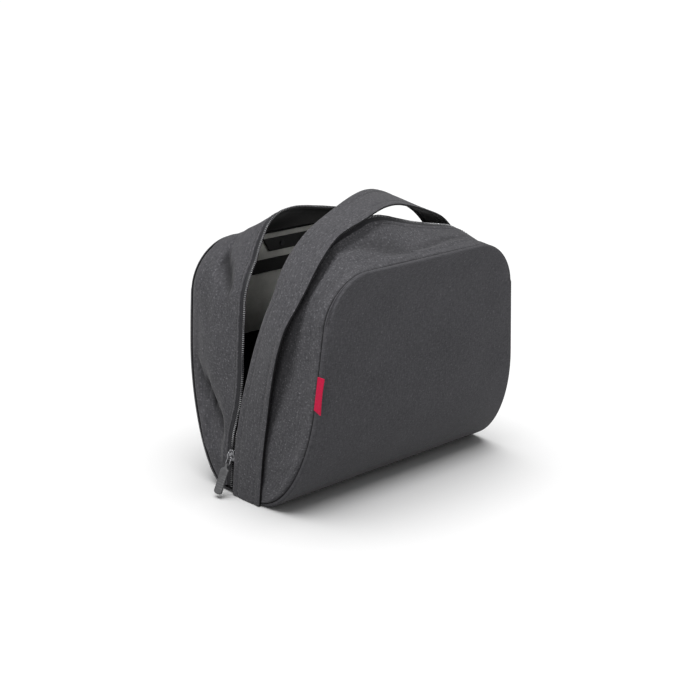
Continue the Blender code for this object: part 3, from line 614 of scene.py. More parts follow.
def mix_colour(tree, factor, first, second):
    """Mix two colours or colour links by a factor link."""
    node = tree.nodes.new("ShaderNodeMix")
    node.data_type = "RGBA"
    tree.links.new(factor, node.inputs["Factor"])
    for name, value in (("A", first), ("B", second)):
        socket = [i for i in node.inputs if i.name == name and i.type == "RGBA"][0]
        if isinstance(value, (tuple, list)):
            socket.default_value = (*value, 1.0)
        else:
            tree.links.new(value, socket)
    return [o for o in node.outputs if o.type == "RGBA"][0]


def noise_link(tree, vector, scale, detail, roughness=0.55, stretch=None):
    """A noise factor on a vector link, stretched along the axes with a low scale."""
    if stretch:
        mapping = tree.nodes.new("ShaderNodeMapping")
        mapping.inputs["Scale"].default_value = stretch
        tree.links.new(vector, mapping.inputs["Vector"])
        vector = mapping.outputs["Vector"]
    node = tree.nodes.new("ShaderNodeTexNoise")
    node.inputs["Scale"].default_value = scale
    node.inputs["Detail"].default_value = detail
    node.inputs["Roughness"].default_value = roughness
    tree.links.new(vector, node.inputs["Vector"])
    return node.outputs["Fac"]


def toned(tint, share, more=0.0):
    """A colour times a share, plus a little, no component over one."""
    return tuple(min(1.0, share * c + more) for c in tint)


def contrast(tree, value, low, high):
    """Spread a factor from low..high to 0..1."""
    node = tree.nodes.new("ShaderNodeMapRange")
    node.inputs["From Min"].default_value = low
    node.inputs["From Max"].default_value = high
    tree.links.new(value, node.inputs["Value"])
    return node.outputs["Result"]


# Scale of a Wave node that gives one band to a metre
BAND_SCALE = 0.314159


def wave_link(tree, vector, direction, pitch):
    """Bands across one direction, one to a pitch, from 0 to 1."""
    node = tree.nodes.new("ShaderNodeTexWave")
    node.wave_type = "BANDS"
    node.bands_direction = direction
    node.inputs["Scale"].default_value = BAND_SCALE / pitch
    node.inputs["Distortion"].default_value = 0.0
    tree.links.new(vector, node.inputs["Vector"])
    return node.outputs["Fac"]


def bump_link(tree, height, distance, strength):
    """A bump from a height link."""
    node = tree.nodes.new("ShaderNodeBump")
    node.inputs["Distance"].default_value = distance
    node.inputs["Strength"].default_value = strength
    tree.links.new(height, node.inputs["Height"])
    return node.outputs["Normal"]


# Woven cloth: how much closer the weft lies, the stretch of threads and fibres, the
# scales of its clouds, light flecks and dark pits, and the contrast of each noise
WEFT_PITCH = 1.08
THREAD_STRETCH = (0.35, 1.0, 1.0)
FIBRE_STRETCHES = ((0.22, 1.0, 1.0), (1.0, 0.22, 1.0))
CLOUD_SCALE, FLECK_SCALE, PIT_SCALE = 26.0, 520.0, 430.0
THREAD_RANGE, HEATHER_RANGE, CLOUD_RANGE = (0.42, 0.58), (0.33, 0.67), (0.25, 0.75)
FLECK_RANGE, PIT_RANGE = (0.56, 0.74), (0.44, 0.28)


def woven_finish(name, dark, light, pitch, speckle, relief, roughness, sheen, wear, fleck):
    """Woven cloth with mixed dark and light threads, on the cloth's own layout."""
    made, tree, shader = plain_finish(
        name, dark, roughness, Sheen_Weight=sheen, Sheen_Roughness=0.45, Specular_IOR_Level=0.14,
    )
    layout = tree.nodes.new("ShaderNodeUVMap")
    layout.uv_map = "Cloth"
    where = layout.outputs["UV"]
    weave = times(tree, wave_link(tree, where, "X", pitch), wave_link(tree, where, "Y", pitch * WEFT_PITCH))
    over = contrast(tree, noise_link(tree, where, 0.9 / pitch, 1.0, stretch=THREAD_STRETCH), *THREAD_RANGE)
    fibres = [
        noise_link(tree, where, scale, 3.0, 0.6, stretch)
        for scale, stretch in zip((speckle, speckle * 1.1), FIBRE_STRETCHES)
    ]
    heather = contrast(tree, mixture(tree, (fibres[0], 0.5), (fibres[1], 0.5)), *HEATHER_RANGE)
    cloudy = contrast(tree, noise_link(tree, where, CLOUD_SCALE, 3.0, 0.6), *CLOUD_RANGE)
    mixing = mixture(tree, (heather, 0.62), (weave, 0.20), (cloudy, 0.18), clamp=True)
    tint = mix_colour(tree, mixing, dark, light)
    if fleck:
        specks = contrast(tree, noise_link(tree, where, FLECK_SCALE, 2.0, 0.7), *FLECK_RANGE)
        tint = mix_colour(tree, times(tree, specks, fleck, clamp=True), tint, toned(light, 2.4))
        pits = contrast(tree, noise_link(tree, where, PIT_SCALE, 2.0, 0.7), *PIT_RANGE)
        tint = mix_colour(tree, times(tree, pits, 0.7 * fleck, clamp=True), tint, toned(dark, 0.4))
    # The attribute carries wear and painted light. Above zero it lightens the cloth: along the worn front rim
    # of the panel, beside the gusset seams, and as a painted highlight on the shaded rear rim of the panel.
    # Below zero it darkens the cloth, as painted shade in the creases and along the seams.
    if wear:
        attribute = tree.nodes.new("ShaderNodeAttribute")
        attribute.attribute_name = "wear"
        worn_and_painted_light = times(tree, times(tree, attribute.outputs["Fac"], heather), wear, clamp=True)
        tint = mix_colour(tree, worn_and_painted_light, tint, toned(light, 1.5))
        shade = times(tree, attribute.outputs["Fac"], -1.0, clamp=True)
        tint = mix_colour(tree, shade, tint, toned(dark, 0.2))
    tree.links.new(tint, shader.inputs["Base Color"])
    tree.links.new(varied(tree, heather, 0.12, roughness), shader.inputs["Roughness"])
    height = mixture(tree, (weave, 0.55), (heather, 0.45), (over, 0.25))
    tree.links.new(bump_link(tree, height, relief, 0.8), shader.inputs["Normal"])
    return made


# Moulded pieces: scales of the broad clouds and of the long thin marks
BROAD_SCALE, MARK_SCALE = 90.0, 420.0
MARK_STRETCH = (1.0, 1.0, 7.0)


def moulded_finish(name, tint, roughness, grain, relief, metallic=0.0, spread=0.25, coat=0.0):
    """Moulded plastic, rubber or cast metal with a fine grain and faint marks."""
    made, tree, shader = plain_finish(name, tint, roughness, Metallic=metallic, Coat_Weight=coat)
    place = tree.nodes.new("ShaderNodeTexCoord").outputs["Object"]
    broad = contrast(tree, noise_link(tree, place, BROAD_SCALE, 3.0), 0.3, 0.7)
    marks = contrast(tree, noise_link(tree, place, MARK_SCALE, 2.0, stretch=MARK_STRETCH), 0.55, 0.75)
    base = mix_colour(tree, broad, toned(tint, 1 - spread), toned(tint, 1 + spread))
    base = mix_colour(tree, times(tree, marks, 0.18), base, toned(tint, 2.2, 0.02))
    tree.links.new(base, shader.inputs["Base Color"])
    tree.links.new(varied(tree, broad, 0.14, roughness), shader.inputs["Roughness"])
    fine = noise_link(tree, place, grain, 2.0)
    tree.links.new(bump_link(tree, fine, relief, 0.6), shader.inputs["Normal"])
    return made


# Woven finishes: dark and light colour, each with its share, then the pitch of the
# threads, scale of the speckle, relief, roughness, sheen, wear and painted light, and flecks
WOVEN = {
    "panel_cloth": ("panel_dark", 1.0, "panel_light", 1.0, 0.0007, 900, 0.00010, 0.86, 0.05, 0.4, 0.25),
    "gusset_cloth": ("gusset_dark", 1.0, "gusset_light", 1.0, 0.0009, 720, 0.00014, 0.9, 0.06, 0.35, 0.6),
    "lining_cloth": ("lining", 1.0, "lining", 1.8, 0.0006, 900, 0.00005, 0.8, 0.05, 0.0, 0.0),
    "zip_tape": ("tape", 1.0, "tape", 2.2, 0.0005, 1100, 0.00006, 0.6, 0.08, 0.0, 0.0),
    "label": ("label", 0.75, "label", 1.25, 0.0004, 1300, 0.00004, 0.6, 0.02, 0.0, 0.0),
}

# Moulded finishes: colour and its share, roughness, scale of the grain, relief
MOULDED = {
    "thread": ("thread", 1.0, 0.7, 5200, 0.00005, {}),
    "zip_teeth": ("teeth", 1.0, 0.32, 3000, 0.00001, {"coat": 0.3}),
    "metal": ("metal", 1.0, 0.26, 2600, 0.00002, {"metallic": 1.0}),
    "rivet": ("metal", 0.25, 0.5, 2600, 0.00002, {"metallic": 1.0}),
    "rubber": ("rubber", 1.0, 0.55, 2200, 0.00004, {}),
    "board": ("board", 1.0, 0.62, 1900, 0.00004, {"spread": 0.12}),
    "plastic": ("plastic", 1.0, 0.62, 2100, 0.00003, {}),
}


def finish(kind):
    """The finish of that name, made once."""
    name = "bag_" + kind
    made = bpy.data.materials.get(name)
    if made:
        return made
    colours = bpy.context.scene.bag_colours
    if kind in WOVEN:
        dark, dark_share, light, light_share, *values = WOVEN[kind]
        dark = toned(getattr(colours, dark), dark_share)
        return woven_finish(name, dark, toned(getattr(colours, light), light_share), *values)
    source, share, *values, more = MOULDED[kind]
    return moulded_finish(name, toned(getattr(colours, source), share), *values, **more)


# Meshes

def add_object(name, data):
    """Put an object with its data into the scene."""
    thing = bpy.data.objects.new(name, data)
    bpy.context.scene.collection.objects.link(thing)
    return thing


def shade(data, angle):
    """Smooth shading with edges sharp above an angle in degrees."""
    data.shade_smooth()
    data.set_sharp_from_angle(angle=math.radians(angle))


def grid_quads(rows, columns):
    """Faces of a grid of points."""
    corners = (i * columns + j for i in range(rows - 1) for j in range(columns - 1))
    return [(a, a + columns, a + columns + 1, a + 1) for a in corners]


def mesh_piece(name, points, faces, layout, finishes, face_finish, wear=None, smooth_angle=40):
    """Make an object from points and faces, with its layout, its wear and painted light, and finishes."""
    mesh = bmesh.new()
    corners = [mesh.verts.new(point) for point in points]
    for face, kind in zip(faces, face_finish):
        mesh.faces.new([corners[k] for k in face]).material_index = kind
    mesh.verts.index_update()
    bmesh.ops.recalc_face_normals(mesh, faces=mesh.faces[:])
    data = bpy.data.meshes.new(name)
    mesh.to_mesh(data)
    mesh.free()
    for each in finishes:
        data.materials.append(finish(each))
    cloth = data.uv_layers.new(name="Cloth")
    picked = np.empty(len(data.loops), dtype=np.int64)
    data.loops.foreach_get("vertex_index", picked)
    cloth.data.foreach_set("uv", np.asarray(layout, dtype=float)[picked].ravel())
    if wear is not None:
        worn_and_painted_light = data.attributes.new("wear", "FLOAT", "POINT")
        worn_and_painted_light.data.foreach_set("value", np.asarray(wear, dtype=float))
    shade(data, smooth_angle)
    return add_object(name, data)


def settle_in(thing, slot, *nodes):
    """Fix a piece to the bag and hide the solids that it stands for. The slot is not used."""
    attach(thing, "root")
    if nodes:
        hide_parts(*nodes)


def grid_normals(grid):
    """Unit normals of a grid of points."""
    normal = np.cross(np.gradient(grid, axis=0), np.gradient(grid, axis=1))
    return normal / np.linalg.norm(normal, axis=2)[:, :, None]


def lay_out(grid):
    """Distances along and across a grid, as its cloth layout."""
    along = np.linalg.norm(np.diff(grid, axis=0), axis=2).mean(axis=1)
    across = np.linalg.norm(np.diff(grid, axis=1), axis=2)
    u = np.concatenate([[0], np.cumsum(along)])
    v = np.concatenate([np.zeros((grid.shape[0], 1)), np.cumsum(across, axis=1)], axis=1)
    return np.stack([np.repeat(u[:, None], grid.shape[1], axis=1), v], axis=2)


def thick_piece(name, outer, inner, layout, finishes, wear):
    """Close an outer and an inner grid to one sheet, each side with its finish."""
    rows, columns = outer.shape[:2]
    count = rows * columns
    faces = []
    for quad in grid_quads(rows, columns):
        faces += [quad, tuple(count + k for k in quad[::-1])]
    kinds = [0, 1] * (len(faces) // 2)
    border = [i * columns for i in range(rows)]
    border += [(rows - 1) * columns + j for j in range(1, columns)]
    border += [i * columns + columns - 1 for i in range(rows - 2, -1, -1)]
    border += list(range(columns - 2, 0, -1))
    faces += [(a, b, count + b, count + a) for a, b in zip(border, border[1:] + border[:1])]
    kinds += [0] * len(border)
    points = np.concatenate([outer.reshape(-1, 3), inner.reshape(-1, 3)])
    flat = layout.reshape(-1, 2)
    wear = np.concatenate([wear.ravel(), np.zeros(count)])
    return mesh_piece(name, points, faces, np.concatenate([flat, flat]), finishes, kinds, wear)


def sweep_piece(name, rings, finishes, ring_finish=None, closed=False, smooth_angle=40):
    """Close rings of points to a solid, with its layout along and around it."""
    rings = np.asarray(rings, dtype=float)
    steps, count = rings.shape[:2]
    ring_finish = ring_finish or [0] * count
    points = [tuple(p) for p in rings.reshape(-1, 3)]
    faces = []
    kinds = []
    for i in range(steps if closed else steps - 1):
        for j in range(count):
            k = (j + 1) % count
            n = (i + 1) % steps
            faces.append((i * count + j, i * count + k, n * count + k, n * count + j))
            kinds.append(ring_finish[j])
    if not closed:
        faces.append(tuple(range(count)))
        faces.append(tuple((steps - 1) * count + j for j in range(count - 1, -1, -1)))
        kinds += [0, 0]
    centre = rings.mean(axis=1)
    along = np.concatenate([[0], np.cumsum(np.linalg.norm(np.diff(centre, axis=0), axis=1))])
    around = np.concatenate([[0], np.cumsum(np.linalg.norm(np.diff(rings, axis=1), axis=2).mean(axis=0))])
    layout = np.stack(np.meshgrid(along, around, indexing="ij"), axis=2).reshape(-1, 2)
    return mesh_piece(name, points, faces, layout, finishes, kinds, smooth_angle=smooth_angle)


# Rows of stitches and teeth, by Geometry Nodes

BEAD_NODES = {
    "start": "NodeGroupInput", "end": "NodeGroupOutput", "to_curve": "GeometryNodeMeshToCurve",
    "resample": "GeometryNodeResampleCurve", "bead": "GeometryNodeMeshUVSphere",
    "size": "ShaderNodeCombineXYZ", "shape": "GeometryNodeTransform",
    "smooth": "GeometryNodeSetShadeSmooth", "tangent": "GeometryNodeInputTangent",
    "upward": "GeometryNodeInputNamedAttribute", "turn": "FunctionNodeAxesToRotation",
    "spread": "FunctionNodeRandomValue", "low": "ShaderNodeMath", "high": "ShaderNodeMath",
    "place": "GeometryNodeInstanceOnPoints", "real": "GeometryNodeRealizeInstances",
    "dress": "GeometryNodeSetMaterial",
}
BEAD_LINKS = (
    ("start", "Line", "to_curve", "Mesh"), ("to_curve", "Curve", "resample", "Curve"),
    ("start", "Pitch", "resample", "Length"), ("start", "Sides", "bead", "Segments"),
    ("start", "Rings", "bead", "Rings"), ("start", "Length", "size", "X"),
    ("start", "Width", "size", "Y"), ("start", "Height", "size", "Z"),
    ("size", 0, "shape", "Scale"), ("bead", "Mesh", "shape", "Geometry"),
    ("shape", "Geometry", "smooth", "Geometry"), ("tangent", 0, "turn", "Primary Axis"),
    ("upward", 0, "turn", "Secondary Axis"), ("start", "Jitter", "low", 1),
    ("start", "Jitter", "high", 1), ("low", 0, "spread", "Min"), ("high", 0, "spread", "Max"),
    ("start", "Seed", "spread", "Seed"), ("resample", "Curve", "place", "Points"),
    ("smooth", "Geometry", "place", "Instance"), ("turn", "Rotation", "place", "Rotation"),
    ("spread", "Value", "place", "Scale"), ("place", "Instances", "real", "Geometry"),
    ("real", "Geometry", "dress", "Geometry"), ("start", "Finish", "dress", "Material"),
    ("dress", "Geometry", "end", "Beads"),
)


def socket_of(sockets, key):
    """The socket at an index, or the one in use with a name."""
    if isinstance(key, int):
        return sockets[key]
    return [socket for socket in sockets if socket.enabled and socket.name == key][0]


def bead_row_tree():
    """Node tree that sets one small bead after another along a line."""
    tree = bpy.data.node_groups.get("bead_row")
    if tree:
        return tree
    tree = bpy.data.node_groups.new("bead_row", "GeometryNodeTree")
    for kind, names in (
        ("Geometry", ("Line",)), ("Float", ("Pitch", "Length", "Width", "Height", "Jitter")),
        ("Int", ("Sides", "Rings", "Seed")), ("Material", ("Finish",)),
    ):
        for name in names:
            tree.interface.new_socket(name, in_out="INPUT", socket_type="NodeSocket" + kind)
    tree.interface.new_socket("Beads", in_out="OUTPUT", socket_type="NodeSocketGeometry")
    nodes = {name: tree.nodes.new(kind) for name, kind in BEAD_NODES.items()}
    nodes["resample"].mode = "LENGTH"
    nodes["bead"].inputs["Radius"].default_value = 0.5
    nodes["upward"].data_type = "FLOAT_VECTOR"
    nodes["upward"].inputs["Name"].default_value = "upward"
    nodes["turn"].primary_axis = "X"
    nodes["turn"].secondary_axis = "Z"
    for name, operation in (("low", "SUBTRACT"), ("high", "ADD")):
        nodes[name].operation = operation
        nodes[name].inputs[0].default_value = 1.0
    for source, output, target, into in BEAD_LINKS:
        tree.links.new(socket_of(nodes[source].outputs, output), socket_of(nodes[target].inputs, into))
    return tree


# Seed of the beads' small differences in size
BEAD_SEED = 7


def bead_row(name, lines, kind, **sizes):
    """Beads along one or more lines, each given by points and outward ways."""
    points = []
    edges = []
    upward = []
    for places, ways in lines:
        base = len(points)
        points += [tuple(p) for p in places]
        upward += [tuple(w) for w in ways]
        edges += [(base + k, base + k + 1) for k in range(len(places) - 1)]
    guide_mesh = bpy.data.meshes.new(name + "_guide")
    guide_mesh.from_pydata(points, edges, [])
    ways = guide_mesh.attributes.new("upward", "FLOAT_VECTOR", "POINT")
    ways.data.foreach_set("vector", np.array(upward, dtype=float).ravel())
    guide = add_object(name + "_guide", guide_mesh)
    row = guide.modifiers.new("beads", "NODES")
    row.node_group = bead_row_tree()
    values = dict(sizes, Finish=finish(kind), Seed=BEAD_SEED)
    for socket in row.node_group.interface.items_tree:
        if socket.in_out == "INPUT" and socket.name in values:
            row[socket.identifier] = values[socket.name]
    graph = bpy.context.evaluated_depsgraph_get()
    made = bpy.data.meshes.new_from_object(guide.evaluated_get(graph))
    made.name = name
    bpy.data.objects.remove(guide)
    if not len(made.polygons):
        raise RuntimeError(name + " came out empty")
    return add_object(name, made)


# Cloth

# Stiffness of the gusset cloth and its weight, for the simulation
CLOTH_VALUES = {
    "quality": 6, "mass": 0.25, "tension_stiffness": 25, "compression_stiffness": 25,
    "shear_stiffness": 12, "bending_stiffness": 2.5, "air_damping": 2,
    "vertex_group_mass": "held", "shrink_min": -CLOTH_SPARE,
}


def sag(name, grid, held, cap):
    """Let a grid of cloth with a little spare length sag between its held edges."""
    rows, columns = grid.shape[:2]
    mesh = bpy.data.meshes.new(name)
    mesh.from_pydata([tuple(p) for p in grid.reshape(-1, 3)], [], grid_quads(rows, columns))
    thing = add_object(name, mesh)
    group = thing.vertex_groups.new(name="held")
    for index, weight in enumerate(held.ravel()):
        if weight > 0:
            group.add([index], float(weight), "REPLACE")
    cloth = thing.modifiers.new("Cloth", "CLOTH")
    cloth.point_cache.frame_start = 1
    cloth.point_cache.frame_end = CLOTH_FRAMES
    for value_name, value in CLOTH_VALUES.items():
        setattr(cloth.settings, value_name, value)
    for frame_number in range(1, CLOTH_FRAMES + 1):
        bpy.context.scene.frame_set(frame_number)
    graph = bpy.context.evaluated_depsgraph_get()
    settled = thing.evaluated_get(graph).to_mesh()
    moved = np.empty(len(settled.vertices) * 3)
    settled.vertices.foreach_get("co", moved)
    moved = moved.reshape(rows, columns, 3) - grid
    bpy.data.objects.remove(thing)
    bpy.context.scene.frame_set(1)
    size = np.linalg.norm(moved, axis=2, keepdims=True)
    return moved * np.minimum(1.0, cap / np.maximum(size, 1e-9))


def spread_moves(moves, places, rows, columns):
    """Carry the moves of some rows and columns over to all of them, softened."""
    picked_rows, picked_columns = places
    wide = np.empty((len(picked_rows), columns, 3))
    for i in range(len(picked_rows)):
        for axis in range(3):
            wide[i, :, axis] = np.interp(np.arange(columns), picked_columns, moves[i, :, axis])
    full = np.empty((rows, columns, 3))
    for j in range(columns):
        for axis in range(3):
            full[:, j, axis] = np.interp(np.arange(rows), picked_rows, wide[:, j, axis])
    for _ in range(2):
        soft = full.copy()
        soft[1:-1] = 0.25 * full[:-2] + 0.5 * full[1:-1] + 0.25 * full[2:]
        full = soft.copy()
        full[:, 1:-1] = 0.25 * soft[:, :-2] + 0.5 * soft[:, 1:-1] + 0.25 * soft[:, 2:]
    return full


# Pieces

def soft_edge(distance, radius):
    """How far a rolled edge falls back at a distance from its rim."""
    if distance >= radius:
        return 0.0
    return radius - math.sqrt(radius * radius - (radius - distance) ** 2)


def make_wrap_panel(shape):
    """Padded panel with rolled edges: front, bottom and rear in one."""
    s = shape.s
    path = []
    for front in (True, False):
        wall = shape.half_profile(front, CURVE_STEPS, shape.side_top)
        for k in range(1, CORNER_STEPS + 1):
            angle = 0.5 * math.pi * k / CORNER_STEPS
            z = shape.side_top + s.top_corner * math.sin(angle)
            wall.append((shape.body_y(0 if front else 1, z), z))
        path = wall[::-1] if front else path + wall
        if front:
            foot = len(path)
    start, end = path[foot - 1][0], path[foot][0]
    flat = [(start + (end - start) * k / BOTTOM_STEPS, 0.0) for k in range(1, BOTTOM_STEPS)]
    path = path[:foot] + flat + path[foot:]
    centre = shape.half_width(s.height) - s.top_corner
    outer = []
    inner_base = []
    wear = []
    for y, z in path:
        width = shape.half_width(z)
        if z > shape.side_top:
            over = min(1.0, (z - shape.side_top) / s.top_corner)
            width += s.top_corner * (math.sqrt(1 - over * over) - 1)
        half = list(EDGE_STEPS) + list(np.linspace(0.009, width, WIDTH_STEPS))
        xs = [-(width - d) for d in half] + [width - d for d in half[-2::-1]]
        row, base_row, worn_and_painted_light = [], [], []
        for x in xs:
            share = x / width
            rim = width - abs(x)
            if z > shape.side_top:
                top_gap = s.height - z
                rim = min(rim, top_gap)
                if abs(x) > centre:
                    rim = s.top_corner - math.hypot(abs(x) - centre, z - shape.side_top)
            rim = max(0.0, rim)
            swell = 0.0
            if y < 0 and z > 0:
                swell = s.panel_bulge * math.sin(math.pi * min(1.0, z / s.height)) * (1 - share ** 4)
            fall = soft_edge(rim, s.panel_roll)
            wave = 0.0
            if z > 0.004:
                (high, scale), (fine_high, fine_scale) = PANEL_WAVES
                wave = high * ripple((x, 0.0 if y < 0 else 0.3, z), scale) * ease(rim / 0.02)
                wave += fine_high * ripple((x, 0.5, z), fine_scale) * ease(rim / 0.01)
            forward = -1 if y < 0 else 1
            back, lift = (0.0, fall) if z < 0.012 else (fall, 0.0)
            row.append((x, y + forward * (swell + wave - back), z + lift))
            base_row.append((x, y + forward * swell, z))
            # Lighter towards the rim. On the front this is slight, for the worn rolled edge. On the rear it
            # is much stronger, a painted highlight that lifts the rolled edge out of its shade.
            worn_and_painted_light.append(0.3 * math.exp(-rim / 0.0025) if y < 0 else 1.6 * math.exp(-rim / 0.004))
        outer.append(row)
        inner_base.append(base_row)
        wear.append(worn_and_painted_light)
    outer = np.array(outer)
    base = np.array(inner_base)
    inner = base - grid_normals(base) * s.panel_wall
    finishes = ("panel_cloth", "lining_cloth")
    thing = thick_piece("wrap_panel_sewn", outer, inner, lay_out(base), finishes, np.array(wear))
    settle_in(thing, "panel_cloth", "wrap_panel")


def gusset_shares(width):
    """Places across a band: close together at the seam and at the zip."""
    near = [d / width for d in (0.0, 0.0005, 0.0011, 0.0018, 0.0028, 0.0042)]
    far = [1 - d / width for d in (0.0042, 0.0026, 0.0016, 0.0009, 0.0004, 0.0)]
    return near + list(np.linspace(near[-1], far[0], 42))[1:-1] + far


def make_gusset(shape, front):
    """Cloth gusset with its seam groove, folds and hem."""
    s = shape.s
    places = shape.outline(front)
    creases = FRONT_CREASES if front else REAR_CREASES
    grid, plain, wear = [], [], []
    for place in places:
        x, z, *_, station = place
        side = -1 if x < 0 else 1
        width = abs(shape.edge_y(front, station) - shape.inner_y(front, z))
        row, plain_row, worn_and_painted_light = [], [], []
        for share in gusset_shares(width):
            at_seam = share * width
            at_zip = (1 - share) * width
            calm = ease(share / 0.12) * ease((0.90 - share) / 0.25)
            sink = 0.0 if front else shape.fold(side, station, share)
            crease = crease_sum(creases, side, station, share) * calm
            sink += crease
            sink += s.seam_groove * bell(at_seam, GROOVE_WIDTH)
            sink -= RIDGE_HEIGHT * bell(at_seam - RIDGE_PLACE, RIDGE_WIDTH)
            sink += soft_edge(at_zip, HEM_RADIUS)
            sink += ZIP_SEAM_DEPTH * bell(at_zip - ZIP_SEAM, ZIP_SEAM_WIDTH)
            spots = ((x, at_seam + (0 if front else 0.4), z), (x * 0.6, at_seam, z * 1.6))
            for spot, (high, scale) in zip(spots, GUSSET_WAVES):
                sink += high * calm * ripple(spot, scale)
            row.append(shape.band_point(front, place, share, sink))
            plain_row.append(shape.band_point(front, place, share, 0.0))
            # Painted shade: the cloth is darkened in a thin line along the seam, most on the front gusset,
            # and in each crease by its depth. The line after these makes the cloth lighter in a strip about 4
            # mm from the seam.
            dark = (1.5 if front else 0.3) * bell(at_seam, 0.0011)
            dark += CREASE_SHADE * max(0.0, crease)
            worn_and_painted_light.append(0.5 * math.exp(-abs(at_seam - 0.004) / 0.002) - dark)
        grid.append(row)
        plain.append(plain_row)
        wear.append(worn_and_painted_light)
    grid = np.array(grid)
    plain = np.array(plain)
    name = "front_gusset" if front else "rear_gusset"
    rows = list(range(0, grid.shape[0], 2))
    columns = [0, 3] + list(range(5, grid.shape[1] - 5, 2)) + [grid.shape[1] - 3, grid.shape[1] - 1]
    held = np.zeros((len(rows), len(columns)))
    held[:, :2] = 1.0
    held[:, -2:] = 1.0
    held[0] = held[-1] = 1.0
    small = grid[np.ix_(rows, columns)]
    moves = sag(name + "_cloth", small, held, FRONT_SAG if front else REAR_SAG)
    grid = grid + spread_moves(moves, (rows, columns), *grid.shape[:2])
    outward = 1 if front else -1
    normal = grid_normals(grid) * outward
    normal[:, 0, 1] = 0
    normal[:, 0] = unit(normal[:, 0])
    inner = grid - normal * s.gusset_wall
    spread = lay_out(plain)
    finishes = ("gusset_cloth", "lining_cloth")
    thing = thick_piece(name + "_sewn", grid, inner, spread, finishes, np.array(wear))
    settle_in(thing, "gusset_cloth", name)


def zip_edges(shape, front):
    """The gusset's free edge: points, way across and outward normal."""
    points, along, normal = shape.free_edge(front, shape.outline(front))
    return points, along, unit(normal - along * (normal * along).sum(axis=1)[:, None])


def make_zip_half(shape, front):
    """A woven tape with its cord and its row of teeth."""
    s = shape.s
    points, raised, over = zip_edges(shape, front)
    thin = 0.5 * s.tape_thickness
    cord = 0.38 * s.bead_thickness
    reach = s.tape_width
    middle = reach + 0.5 * s.bead_width
    upper = [(-0.0012, thin), (0.25 * reach, thin), (0.6 * reach, thin * 1.15), (reach - 0.0006, thin)]
    for k in range(7):
        angle = math.pi * (1 - k / 6)
        upper.append((middle + 0.42 * s.bead_width * math.cos(angle), cord * math.sin(angle) + 0.2 * thin))
    lower = [(a, -b) for a, b in upper[::-1]]
    rings = []
    for point, lean, up in zip(points, raised, over):
        flutter = 0.0003 * ripple(point, 60.0)
        rings.append([point + a * lean + (b + flutter * a / reach) * up for a, b in upper + lower])
    name = "front_zip_tape" if front else "rear_zip_tape"
    tape = sweep_piece(name + "_woven", rings, ("zip_tape",), smooth_angle=50)
    settle_in(tape, "zip_cloth", name)
    line = points + raised * middle
    teeth = bead_row(
        name + "_teeth", [(line, over)], "zip_teeth", Pitch=s.tooth_pitch, Length=0.52 * s.tooth_pitch,
        Width=1.05 * s.bead_width, Height=s.bead_thickness, Jitter=0.02, Sides=8, Rings=6,
    )
    settle_in(teeth, "zip_cloth")
    seam = points - raised * ZIP_SEAM + over * (0.5 * s.gusset_wall - 0.0001)
    stitches = bead_row(
        name + "_stitches", [(seam, over)], "thread", Pitch=0.0030, Length=0.0023, Width=0.0005,
        Height=0.0004, Jitter=0.08, Sides=6, Rings=4,
    )
    settle_in(stitches, "gusset_cloth")


def strap_line(shape, steps):
    """Middle of the strap with its ways across and outward."""
    line = spline(shape.strap_knots(), steps)
    centre = line[:, :3]
    tangent = unit(np.gradient(centre, axis=0))
    broad = np.stack([line[:, 4], np.ones(steps), line[:, 3]], axis=1)
    broad = unit(broad - tangent * (broad * tangent).sum(axis=1)[:, None])
    return centre, broad, np.cross(tangent, broad)


def make_strap(shape):
    """Carry strap of heathered cloth on dark webbing, with its rims darkened as painted shade, stitched near
    both edges.
    """
    s = shape.s
    steps = 320
    centre, broad, out = strap_line(shape, steps)
    half = 0.5 * s.strap_width
    thin = 0.5 * s.strap_thickness
    row = half - s.stitch_margin
    rims = np.array([0.0002, 0.0009, 0.0020])
    inside = np.linspace(-half + 0.0035, half - 0.0035, 35)
    tops = np.concatenate([-half + rims, inside, half - rims[::-1]])
    section = []
    for a in tops:
        rim = half - abs(a)
        height = thin * min(1.0, 0.35 + 0.65 * math.sqrt(min(1.0, rim / 0.0016)))
        height -= STRAP_GROOVE * bell(abs(a) - row, STRAP_GROOVE_WIDTH)
        height += STRAP_CROWN * math.cos(0.5 * math.pi * min(1.0, abs(a) / row))
        section.append((a, height))
    under = [(a, -min(h, thin)) for a, h in section[::-1]]
    # The underside takes the dark lining finish as the webbing. The two narrow rims take it too, as painted
    # shade for the thin shadow line along the strap's edges.
    kinds = [0] * (len(section) - 1) + [1] * (len(under) + 1)
    rings = []
    for k in range(steps):
        ring = []
        for a, b in section + under:
            wave = STRAP_WAVE * ripple((0.02 * k, a * 40, 0.0), 1.3)
            ring.append(centre[k] + a * broad[k] + (b + wave) * out[k])
        rings.append(ring)
    rings = np.array(rings)
    rings[0, :, 2] = s.strap_foot
    rings[-1, :, 2] = s.strap_foot
    strap = sweep_piece("handle_strap_sewn", rings, ("gusset_cloth", "lining_cloth"), kinds, smooth_angle=50)
    settle_in(strap, "gusset_cloth", "handle_strap")
    lines = [(centre + side * row * broad + (thin - 0.0003) * out, out) for side in (-1, 1)]
    stitches = bead_row(
        "strap_stitches", lines, "thread", Pitch=s.stitch_pitch, Length=s.stitch_length,
        Width=s.thread, Height=0.8 * s.thread, Jitter=0.05, Sides=8, Rings=6,
    )
    settle_in(stitches, "gusset_cloth")


def bevelled(thing, width, segments):
    """Round off a piece's edges and keep the result as its plain mesh."""
    bevel = thing.modifiers.new("rounding", "BEVEL")
    bevel.width = width
    bevel.segments = segments
    bevel.limit_method = "ANGLE"
    bevel.angle_limit = math.radians(35)
    graph = bpy.context.evaluated_depsgraph_get()
    made = bpy.data.meshes.new_from_object(thing.evaluated_get(graph))
    thing.modifiers.clear()
    thing.data = made
    shade(made, 40)
    return thing


def plate_rings(shape_points, origin, across, up, out, thickness):
    """Two rings of a flat outline, a thickness apart."""
    low = [origin + a * across + b * up for a, b in shape_points]
    return [[point + level * out for point in low] for level in (0.0, thickness)]


